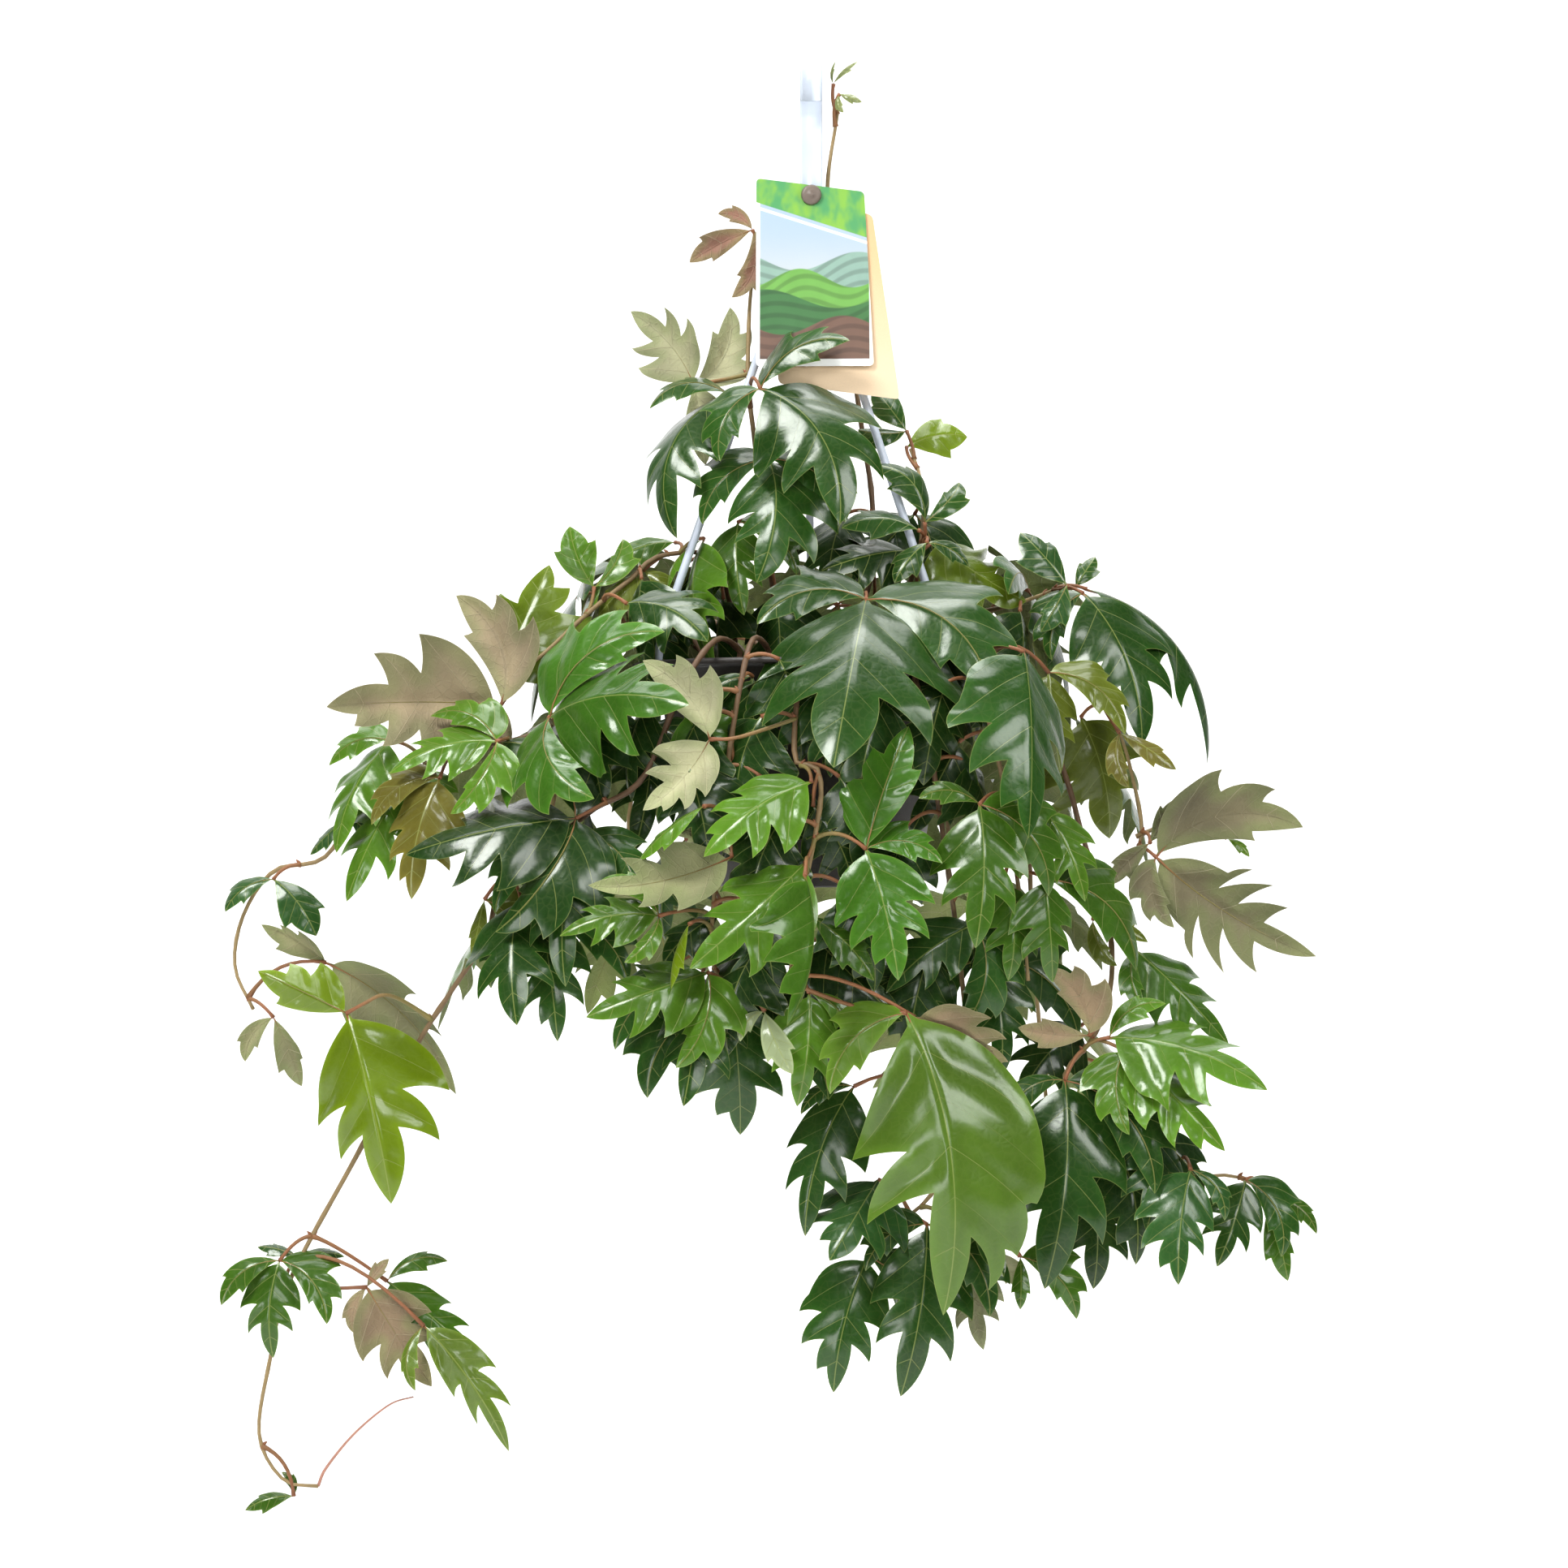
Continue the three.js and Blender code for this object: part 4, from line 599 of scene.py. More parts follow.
class IvyHolderColours(bpy.types.PropertyGroup):
    """Colours of the pot, soil, hanger and cards."""

    pot: colour("Pot", "Dark moulded plastic", (0.030, 0.025, 0.022))
    soil: colour("Soil", "Damp potting mix", (0.040, 0.025, 0.014))
    hanger: colour("Hanger", "Milky plastic", (0.540, 0.600, 0.690))
    card_green: colour("Card green", "Printed green", (0.190, 0.410, 0.050))
    card_orange: colour("Card orange", "Printed orange", (0.680, 0.410, 0.200))
    button: colour("Button", "Grey-brown plastic peg", (0.150, 0.115, 0.090))


class IvySizes(bpy.types.PropertyGroup):
    """Sizes of what only the picture needs."""

    blade: size("Blade thickness", "Thickness of a blade at its middle", 0.00045)
    stem: size("Stem radius", "Radius of a stem at the soil", 0.0014)
    petiole: size("Petiole radius", "Radius of a petiole at its foot", 0.00115)
    vein: size("Vein width", "Half width of a side vein as it leaves the midrib", 0.00018)


GROUPS = {
    "ivy_leaves": IvyLeafColours,
    "ivy_under": IvyUnderColours,
    "ivy_stems": IvyStemColours,
    "ivy_holder": IvyHolderColours,
    "ivy_sizes": IvySizes,
}
# A look that shows its underside has a plain upper side.
UNDER_LOOKS = ("brown", "reddish", "pale", "beige", "blush", "smoky", "grey")


def holder_tone(name):
    """A colour of the pot, soil, hanger or cards."""
    return tuple(getattr(bpy.context.scene.ivy_holder, name))


def unit(vector):
    """The vector at length one."""
    return vector / np.linalg.norm(vector)


def seen(x, z, depth):
    """The point where the eye sees (x, z), brought forward along its line of sight."""
    share = (-EYE[1] - depth) / -EYE[1]
    return np.array((EYE[0] + (x - EYE[0]) * share, -depth, EYE[2] + (z - EYE[2]) * share))


def around(azimuth, z, radius):
    """A point round the pot: azimuth 0 is the front and 90 the right-hand side."""
    angle = math.radians(azimuth)
    return np.array((radius * math.sin(angle), -radius * math.cos(angle), z))


def facing(azimuth, elevation):
    """The direction that looks that way round, and that far up."""
    rise = math.radians(elevation)
    return around(azimuth, math.sin(rise), math.cos(rise))


def turned(vector, axis, angle):
    """The vector turned about an axis of length one."""
    cosine = math.cos(angle)
    return (vector * cosine + np.cross(axis, vector) * math.sin(angle)
            + axis * axis.dot(vector) * (1 - cosine))


def seeded_draws(seed):
    """A draw between two numbers, with its own run of chance, the same each time."""
    state = [seed]

    def draw(low, high):
        state[0] = state[0] * 16807 % 2147483647
        return low + (high - low) * state[0] / 2147483647

    return draw


def back_stem(index):
    """One of the stems round the back, with a leaf at every node."""
    draw = seeded_draws(BACK_SEED + index * BACK_SEED_STEP)
    azimuth = BACK_FIRST_AZIMUTH + (BACK_LAST_AZIMUTH - BACK_FIRST_AZIMUTH) * index / (BACK_STEMS - 1)
    root_radius = BACK_ROOT_RADII[index % 2]
    root = around(azimuth, 0, root_radius)
    crest = draw(-272, -240)
    reach = draw(128, 165) - SIDEWAYS_LESS * abs(math.sin(math.radians(azimuth)))
    end = draw(-560, -520) if index in BACK_LONG else draw(-430, -385)
    path = [
        (azimuth, (crest + RIM_Z) / 2, root_radius + 10),
        (azimuth + draw(-3, 3), crest, reach * 0.62),
        (azimuth + draw(-4, 4), crest - 26, reach * 0.88),
        (azimuth + draw(-5, 5), BACK_BEND_Z, reach),
        (azimuth + draw(-5, 5), (end + BACK_BEND_Z) / 2, reach + 6),
        (azimuth + draw(-6, 6), end, reach + 2),
    ]
    leaves = []
    side = 1 if index % 2 else -1
    z = crest + 12
    while z > end - 20:
        swing = side * draw(7, 12)
        length = draw(66, 84)
        out = (reach * 0.7 if z > -300 else reach) + draw(16, 26)
        tip_azimuth = azimuth + swing * draw(1.6, 2.2)
        tip = (tip_azimuth, z - length * 0.86, out + draw(18, 34))
        faces = (draw(-14, 14), draw(24, 40))
        look = BACK_LOOKS[(index * 2 + len(leaves)) % len(BACK_LOOKS)]
        leaves.append(Leaf((azimuth + swing, z, out), tip, faces, look, left=AUTO, right=AUTO))
        side = -side
        z -= BACK_LEAF_STEP
    return Stem(f"stem_back_{index + 1}", (root[0], -root[1]), path, leaves, round_pot=True)


STEMS = FRONT_STEMS + [back_stem(index) for index in range(BACK_STEMS)]
for grown in STEMS:
    for number, leaf in enumerate(grown.leaves):
        if leaf.sway is None:
            leaf.sway = SWAYS[number % len(SWAYS)]


# Where leaves and stems lie


def arc_point(turn, u, v):
    """Points beside an arc from (0, 0) to (1, 0) that turns by an angle in all: u runs
    along the arc and v stands out from it."""
    if abs(turn) < 1e-6:
        return u, v
    angle = turn * (u - 0.5)
    half = turn / 2
    chord = 2 * math.sin(half)
    return ((np.sin(angle) + math.sin(half)) / chord + v * np.sin(angle),
            (np.cos(angle) - math.cos(half)) / chord + v * np.cos(angle))


class Surface:
    """The curved surface of a leaflet: an arc from base to tip that arches towards the
    normal and sways to one side, with both halves sloping down from the midrib."""

    def __init__(self, base, tip, normal, arch, sway):
        chord = tip - base
        self.base = base
        self.length = np.linalg.norm(chord)
        self.along = chord / self.length
        self.up = unit(normal - normal.dot(self.along) * self.along)
        self.side = np.cross(self.up, self.along)
        self.arch = arch
        self.sway = sway

    def at(self, u, v, lift):
        """Points of the surface, for arrays of shares of its length and lifts off it."""
        u, v, lift = np.broadcast_arrays(*(np.asarray(a, float) for a in (u, v, lift)))
        run, out = arc_point(self.sway, u, v)
        angle = (self.arch * (run - 0.5))[..., None]
        reach, rise = arc_point(self.arch, run, 0.0)
        crease = np.sqrt(v * v + FOLD_ROUNDING ** 2) - FOLD_ROUNDING
        slope = FOLD * crease + EDGE_DROOP * v * v
        normal = self.up * np.cos(angle) + self.along * np.sin(angle)
        shares = self.along * reach[..., None] + self.up * rise[..., None] + self.side * out[..., None]
        return self.base + self.length * shares + normal * (lift - slope * self.length)[..., None]


def leaflet_ends(leaf, put_in, push, nod, azimuth):
    """The junction, the tips and the normal of a leaf after a move."""

    def put(spot, extra=0.0):
        return put_in(spot[0], spot[1], spot[2] + push + extra)

    junction = put(leaf.at)
    tip = put(leaf.tip, nod)
    normal = facing(leaf.faces[0] + azimuth, leaf.faces[1])
    chord = tip - junction
    up = unit(normal - normal.dot(chord) / chord.dot(chord) * chord)

    def side_end(given, sign):
        if given is None:
            return None
        if given is not AUTO:
            return put(given)
        direction = turned(chord * LATERAL_SHARE, up, math.radians(LATERAL_ANGLE) * sign)
        return junction + direction - up * LATERAL_DROOP * np.linalg.norm(direction)

    return junction, tip, normal, side_end(leaf.left, -1), side_end(leaf.right, 1)


def angle_between(a, b):
    """The angle between two directions of length one."""
    return math.acos(max(-1.0, min(1.0, float(a.dot(b)))))


@dataclass
class Leaflet:
    """One leaflet: its surface, its pattern, and the share of width of its two halves."""

    surface: Surface
    pattern: str
    shares: list
    sunk: float = 0.0


def leaflets_of(leaf, put_in, push, nod, azimuth):
    """The middle leaflet of a leaf first, and then its side leaflets."""
    junction, tip, normal, left, right = leaflet_ends(leaf, put_in, push, nod, azimuth)
    middle = Surface(junction, tip, normal, leaf.arch, leaf.sway)
    small = middle.length < SMALL_BLADE
    first = Leaflet(middle, "plain" if small else "lobed", [leaf.wide, leaf.wide])
    found = [first]
    for end in (left, right):
        if end is None:
            continue
        way = end - junction
        short = LEAST_ANGLE - angle_between(unit(way), middle.along)
        if short > 0:
            way = turned(way, unit(np.cross(middle.along, way)), short)
        surface = Surface(junction, junction + way, normal, leaf.arch, 0.0)
        angle = math.atan2(surface.along.dot(middle.side), surface.along.dot(middle.along))
        surface.sway = math.copysign(min(SIDE_SWAY, max(0.0, 2 * (WIDEST_BASE - abs(angle)))), angle)
        on_left = angle < 0
        room = min(1.0, angle_between(surface.along, middle.along) / ROOMY_ANGLE)
        if surface.length < SMALL_BLADE * 0.8:
            pattern = "plain"
        else:
            pattern = "outer_left" if on_left else "outer_right"
        shares = [leaf.wide, room] if on_left else [room, leaf.wide]
        found.append(Leaflet(surface, pattern, shares, SIDE_SUNK))
        first.shares[0 if on_left else 1] = leaf.wide * room
    return found


def bezier(start, control, end, t):
    """A point, or points, of the curve that leaves start and reaches end towards the control."""
    return (1 - t) ** 2 * start + 2 * t * (1 - t) * control + t * t * end


def curve_points(points, count):
    """Evenly numbered points on the Catmull-Rom curve through the given ones."""
    points = np.array(points)
    padded = np.vstack([2 * points[0] - points[1], points, 2 * points[-1] - points[-2]])
    places = np.linspace(0, len(points) - 1, count)
    start = np.minimum(places.astype(int), len(points) - 2)
    t = (places - start)[:, None]
    before, here, there, after = (padded[start + k] for k in range(4))
    out, back = (there - before) / 2, (after - here) / 2
    return ((2 * here - 2 * there + out + back) * t ** 3
            + (3 * there - 3 * here - 2 * out - back) * t ** 2 + out * t + here)


def evenly_spaced(points, count):
    """Points at even distances along a fine line of points."""
    steps = np.linalg.norm(np.diff(points, axis=0), axis=1)
    travelled = np.concatenate([[0], np.cumsum(steps)])
    places = np.linspace(0, travelled[-1], count)
    return np.stack([np.interp(places, travelled, points[:, k]) for k in range(3)], axis=1)


def line_length(points):
    """The length of a line of points."""
    return np.linalg.norm(np.diff(points, axis=0), axis=1).sum()


def stem_routes(stem):
    """The main route of a stem, from its foot in the soil, and those of its branches."""
    put_in = around if stem.round_pot else seen
    x, depth = stem.root
    foot = [np.array((x, -depth, z)) for z in
            (STEM_FOOT_Z, (STEM_FOOT_Z + STEM_TOP_Z) / 2, STEM_TOP_Z, STEM_TOP_Z + 7)]
    routes = [foot + [put_in(*spot) for spot in stem.path]]
    return routes + [[put_in(*spot) for spot in route] for route in stem.branches]


def petiole_places(stem):
    """Places along a stem where a petiole can start."""
    places = []
    for route in stem_routes(stem):
        fine = curve_points(route, 40 * len(route))
        steps = max(3, round(line_length(fine) / STEM_STEP))
        places.append(evenly_spaced(fine, 4 * steps + 1)[1:])
    places = np.vstack(places)
    clear = (places[:, 2] > STEM_TOP_Z + 8) | (np.hypot(places[:, 0], places[:, 1]) > RIM_RADIUS)
    return places[clear]


def petiole_line(leaf, stem, places, middle, bow):
    """Points of a petiole's middle line, from its leaf to its stem."""
    put_in = around if stem.round_pot else seen
    hub = middle.base
    if leaf.via:
        route = [put_in(*spot) for spot in reversed(leaf.via)]
        foot = places[np.argmin(np.linalg.norm(places - route[-1], axis=1))]
        return curve_points([hub, *route, foot], 8 * (len(route) + 1))
    reach = places - hub
    distance = np.linalg.norm(reach, axis=1)
    roomy = distance >= PETIOLE_LEAST
    behind = roomy & (reach @ middle.along < distance * PETIOLE_AHEAD)
    allowed = behind if behind.any() else roomy
    foot = places[np.argmin(np.where(allowed, distance, np.inf))]
    length = np.linalg.norm(foot - hub)
    if length < SHORT_PETIOLE:
        bow = SHORT_BOW
    bend = (foot + hub) / 2 - middle.along * PETIOLE_SINK * length
    bend[2] += length * bow
    return bezier(hub, bend, foot, np.linspace(0, 1, 9)[:, None])


def leaflets_in_model(leaf, stem, model):
    """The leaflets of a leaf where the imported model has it, and how far its petiole bows.
    The model's leaf has moved to hang clear of its neighbours: the move is the one that
    brings its hub and its tip to points of the model's mesh."""
    put_in, azimuth = (around, leaf.at[0]) if stem.round_pot else (seen, 0.0)
    for i, push in enumerate(PUSHES):
        for j, nod in enumerate(NODS):
            leaflets = leaflets_of(leaf, put_in, push, nod, azimuth)
            middle = leaflets[0].surface
            tip = middle.base + middle.along * middle.length
            top = middle.base + middle.up * BLADE_THICKNESS / 2
            if max(model.find(Vector(point * MM))[2] for point in (tip, top)) < SAME_POINT * MM:
                return leaflets, BOWS[(i + j) % len(BOWS)]
    raise RuntimeError(f"{stem.name} has no leaf at {leaf.at} in the packed model")


# Meshes


class Build:
    """Gathers the points and triangles of one piece. Each point carries what its material
    reads: its place on the blade (along, across, distance from the edge), the blade's own
    length with a number drawn for it, and its colours."""

    def __init__(self):
        self.points = []
        self.blades = []
        self.grains = []
        self.tones = []
        self.unders = []
        self.triangles = []
        self.slots = []
        self.sharp = set()
        self.count = 0

    def add(self, points, triangles, slot, blade=None, grain=(0.0, 0.0, 0.0),
            tone=(1, 1, 1), under=(1, 1, 1)):
        """Adds points, in millimetres, and triangles between them, and returns where they start."""
        start = self.count
        count = len(points)
        self.points.append(np.asarray(points) * MM)
        self.blades.append(np.zeros((count, 3)) if blade is None else blade)
        self.grains.append(np.broadcast_to(np.asarray(grain, float), (count, 3)))
        self.tones.append(np.broadcast_to(np.asarray(tone, float), (count, 3)))
        self.unders.append(np.broadcast_to(np.asarray(under, float), (count, 3)))
        self.triangles.append(np.asarray(triangles) + start)
        slots = np.broadcast_to(np.asarray(slot), (len(triangles),))
        self.slots.append(slots)
        self.count += count
        return start

    def crisp_ring(self, start, count):
        """Notes the closed ring of points that starts there as a sharp edge."""
        ring = list(range(start, start + count))
        self.sharp.update(zip(ring, ring[1:] + ring[:1]))

    def piece(self, name, node, materials):
        """Makes the object, which rides on the body, takes its finish from a slot and
        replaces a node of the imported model."""
        points = np.vstack(self.points)
        triangles = np.vstack(self.triangles)
        mesh = bpy.data.meshes.new(name)
        mesh.vertices.add(len(points))
        mesh.vertices.foreach_set("co", points.astype(np.float32).ravel())
        mesh.loops.add(3 * len(triangles))
        mesh.loops.foreach_set("vertex_index", triangles.astype(np.int32).ravel())
        mesh.polygons.add(len(triangles))
        mesh.polygons.foreach_set("loop_start", np.arange(0, 3 * len(triangles), 3, dtype=np.int32))
        mesh.polygons.foreach_set("material_index", np.concatenate(self.slots).astype(np.int32))
        mesh.update(calc_edges=True)
        for title, rows in (("blade", self.blades), ("grain", self.grains)):
            values = np.vstack(rows).astype(np.float32).ravel()
            mesh.attributes.new(title, "FLOAT_VECTOR", "POINT").data.foreach_set("vector", values)
        for title, rows in (("tone", self.tones), ("under", self.unders)):
            values = np.hstack([np.vstack(rows), np.ones((self.count, 1))]).astype(np.float32).ravel()
            mesh.attributes.new(title, "FLOAT_COLOR", "POINT").data.foreach_set("color", values)
        self.sharpen(mesh)
        mesh.shade_smooth()
        for material in materials:
            mesh.materials.append(material)
        made = bpy.data.objects.new(name, mesh)
        bpy.context.scene.collection.objects.link(made)
        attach(made, BODY)
        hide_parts(node)
        return made

    def sharpen(self, mesh):
        """Marks the edges that were noted as sharp."""
        if not self.sharp:
            return
        ends = np.zeros(2 * len(mesh.edges), np.int32)
        mesh.edges.foreach_get("vertices", ends)
        pairs = np.sort(ends.reshape(-1, 2), axis=1).astype(np.int64)
        keys = pairs[:, 0] * self.count + pairs[:, 1]
        wanted = np.array([min(a, b) * self.count + max(a, b) for a, b in self.sharp], np.int64)
        marks = np.isin(keys, wanted)
        mesh.attributes.new("sharp_edge", "BOOLEAN", "EDGE").data.foreach_set("value", marks)


def carried_frames(line, first_side):
    """Two directions across a line at each point, carried along it without twisting."""
    line = np.asarray(line, float)
    ways = np.gradient(line, axis=0)
    ways /= np.linalg.norm(ways, axis=1)[:, None]
    side = first_side
    sides = []
    for way in ways:
        side = unit(side - way * way.dot(side))
        sides.append(side)
    sides = np.array(sides)
    return sides, np.cross(ways, sides)


def ring_bands(rings, sides):
    """The triangles that join each ring of points to the next one."""
    triangles = []
    for start in range(0, (rings - 1) * sides, sides):
        for i in range(sides):
            j = (i + 1) % sides
            a, b, c, d = start + i, start + j, start + sides + j, start + sides + i
            triangles += [(a, b, c), (a, c, d)]
    return triangles


def tube(build, line, radii, slot, sides=8, tone=(1, 1, 1), first_side=None):
    """A round tube along a line, closed at both ends, with a radius and a colour a point."""
    line = np.asarray(line, float)
    way = line[1] - line[0]
    if first_side is None:
        first_side = np.array((0.0, 0.0, 1.0)) if abs(unit(way)[2]) < 0.8 else np.array((1.0, 0.0, 0.0))
    across, over = carried_frames(line, first_side)
    radii = np.broadcast_to(np.asarray(radii, float), (len(line),))
    angles = 2 * math.pi * np.arange(sides) / sides
    ring = across[:, None] * np.cos(angles)[None, :, None] + over[:, None] * np.sin(angles)[None, :, None]
    points = (line[:, None] + ring * radii[:, None, None]).reshape(-1, 3)
    points = np.vstack([points, line[0], line[-1]])
    tones = np.broadcast_to(np.asarray(tone, float), (len(line), 3))
    tones = np.vstack([np.repeat(tones, sides, axis=0), tones[0], tones[-1]])
    triangles = ring_bands(len(line), sides)
    last = (len(line) - 1) * sides
    for i in range(sides):
        j = (i + 1) % sides
        triangles += [(len(points) - 2, j, i), (len(points) - 1, last + i, last + j)]
    travelled = np.concatenate([[0], np.cumsum(np.linalg.norm(np.diff(line, axis=0), axis=1))])
    blade = np.zeros((len(points), 3))
    blade[:-2, 0] = np.repeat(travelled * MM, sides)
    build.add(points, triangles, slot, blade=blade, tone=tones)


def lathe(build, profile, sides, centre=(0.0, 0.0), axis="Z"):
    """A closed turned body from a profile of (radius, height) that starts and ends on its axis."""
    angles = 2 * math.pi * np.arange(sides) / sides
    points, rings = [], []
    for radius, height in profile:
        if radius == 0:
            rings.append([len(points)] * sides)
            points.append((0, 0, height))
        else:
            rings.append(list(range(len(points), len(points) + sides)))
            points += [(radius * math.cos(a), radius * math.sin(a), height) for a in angles]
    triangles = []
    for low, high in zip(rings, rings[1:]):
        for i in range(sides):
            j = (i + 1) % sides
            if low[i] != low[j]:
                triangles.append((low[i], low[j], high[j]))
            if high[i] != high[j]:
                triangles.append((low[i], high[j], high[i]))
    points = np.array(points, float)
    if axis == "Y":
        points = np.stack([points[:, 0], points[:, 2], -points[:, 1]], axis=1)
        points += (centre[0], 0.0, centre[1])
    else:
        points += (centre[0], centre[1], 0.0)
    build.add(points, triangles, 0)


def half_margin(corners, spacing):
    """Points of half a leaflet's edge, with a small tooth on each long stretch."""
    points = [np.array((0.0, STALK_HALF))]
    for along, out, bulge in corners:
        start, end = points[-1], np.array((along, out))
        way = end - start
        length = np.linalg.norm(way)
        outward = np.array((-way[1], way[0])) / length
        control = (start + end) / 2 + 2 * bulge * outward
        count = max(2, round(length / spacing))
        points += [bezier(start, control, end, k / count) for k in range(1, count + 1)]
        if out > 0.1 and bulge > 0:
            points[-1] = points[-1] + unit(end - control) * TOOTH
    points[-1] = np.array((1.0, 0.0))
    return np.array(points)


def edge_distance(places, outline):
    """How far each place is from the closed outline."""
    start = outline
    way = np.roll(outline, -1, axis=0) - start
    offset = places[:, None] - start[None]
    share = np.clip((offset * way).sum(-1) / (way * way).sum(-1), 0, 1)
    return np.linalg.norm(offset - share[..., None] * way, axis=-1).min(axis=1)


def inside(places, outline):
    """Which places lie inside the closed outline."""
    a, b = outline, np.roll(outline, -1, axis=0)
    x, y = places[:, 0, None], places[:, 1, None]
    crosses = (a[:, 1] > y) != (b[:, 1] > y)
    with np.errstate(divide="ignore", invalid="ignore"):
        at = a[:, 0] + (y - a[:, 1]) / (b[:, 1] - a[:, 1]) * (b[:, 0] - a[:, 0])
    return (crosses & (x < at)).sum(axis=1) % 2 == 1


def well_inside(grid, outline, gap):
    """The places of a grid that lie inside the closed outline and clear of it."""
    grid = grid[inside(grid, outline)]
    return grid[edge_distance(grid, outline) > gap]


def filled(outline, grid):
    """The places of a closed outline and of the grid inside it, in that order, and the
    triangles that join them."""
    places = [Vector(p) for p in np.vstack([outline, grid])]
    found, _, triangles = geometry.delaunay_2d_cdt(places, [], [list(range(len(outline)))], 1, 1e-7)[:3]
    found = np.array([tuple(p) for p in found])
    if len(found) < len(places) or np.abs(found[:len(outline)] - outline).max() > STRAY_LIMIT:
        raise RuntimeError("an outline crosses itself")
    return found, np.array(triangles)


class Pattern:
    """A leaflet's outline split into triangles, in shares of its length."""

    def __init__(self, left, right, spacing):
        left_edge = half_margin(left, spacing) * (1, -1)
        outline = np.vstack([left_edge, half_margin(right, spacing)[-2::-1]])
        self.rim = len(outline)
        grid = well_inside(self.grid(spacing), outline, EDGE_GAP * spacing)
        self.places, self.triangles = filled(outline, grid)
        chords = self.chords()
        while len(chords):
            grid = np.vstack([grid, self.places[chords].mean(axis=1)])
            self.places, self.triangles = filled(outline, grid)
            chords = self.chords()
        self.edge = edge_distance(self.places, outline)
        self.edge[:self.rim] = 0.0

    def grid(self, spacing):
        """Rows of places, each half a step from the next, as in a honeycomb."""
        gap = spacing * ROW_GAP
        last = int(GRID_HALF_WIDTH / gap)
        rows = []
        for row in range(-last, last + 1):
            u = np.arange(spacing * (0.5 if row % 2 else 1.0), 1.0, spacing)
            rows.append(np.stack([u, np.full(len(u), row * gap)], axis=1))
        return np.vstack(rows)

    def chords(self):
        """The sides of triangles that join two places of the outline across the blade, where
        its upper side and its underside would meet."""
        sides = np.vstack([self.triangles[:, (k, (k + 1) % 3)] for k in range(3)])
        sides = np.unique(np.sort(sides, axis=1), axis=0)
        sides = sides[sides[:, 1] < self.rim]
        gap = sides[:, 1] - sides[:, 0]
        return sides[(gap > 1) & (gap < self.rim - 1)]


def smooth_step(values, low, high):
    """0 below low, 1 above high, and a smooth rise between."""
    t = np.clip((values - low) / (high - low), 0, 1)
    return t * t * (3 - 2 * t)


def blade_relief(u, v, edge, chance, puff, crease=0.0):
    """How far a blade stands off its plain surface, as a share of its length: quilted
    between the veins, with a waved edge, lobes that hang a little, and perhaps a deeper
    crease along the midrib."""
    across = np.abs(v)
    phase = (u - VEIN_SLOPE * across - VEIN_BEND * across ** 2 - VEIN_START) * VEINS
    grooves = 0.35 * (1 + np.cos(2 * math.pi * phase)) + 0.65 * (1 - np.cos(math.pi * phase))
    quilt = -0.5 * grooves * smooth_step(edge, 0.0, 0.07)
    quilt *= smooth_step(across, 0.0, 0.06) * (1 - 0.4 * smooth_step(u, 0.7, 1.0))
    outer = (across / WAVE_WIDTH) ** 2
    waves = np.sin(2 * math.pi * (2.3 * u + chance)) * outer
    waves += 0.6 * np.sin(2 * math.pi * (3.7 * u - 2 * chance)) * outer * np.sign(v)
    hang = LOBE_HANG * np.maximum(across - LOBE_FROM, 0) ** 2
    depth = (QUILT_DEPTH + QUILT_SPREAD * chance) * puff
    return depth * quilt + WAVE_HEIGHT * waves - hang - crease * across


def leaf_tones(look):
    """The colours of a look's upper side and underside."""
    scene = bpy.context.scene
    if look in UNDER_LOOKS:
        return np.array(scene.ivy_leaves.mid), np.array(getattr(scene.ivy_under, look))
    return np.array(getattr(scene.ivy_leaves, look)), np.array(scene.ivy_under.plain)


# How strongly the blades of each look are quilted, and how deep a crease some of them have
# along the midrib
PUFFS = {
    "dark": 0.5, "black": 0.5, "bluish": 0.6, "glossy": 1.6, "bright": 1.6, "big": 1.3, "lime": 1.4,
}
OTHER_PUFF = 1.2
CREASES = {
    "big": 0.2, "lime": 0.28, "brown": 0.2, "grey": 0.16, "blush": 0.12, "smoky": 0.1,
    "beige": 0.2, "pale": 0.15,
}
LOOK_PATTERNS = {"smoky": "deep", "big": "great"}
# The looks whose petioles turn green towards the leaf
FRESH_LOOKS = ("bright", "lime", "glossy", "silvery", "pale", "beige")
UPPER, UNDER, STALK = 0, 1, 2


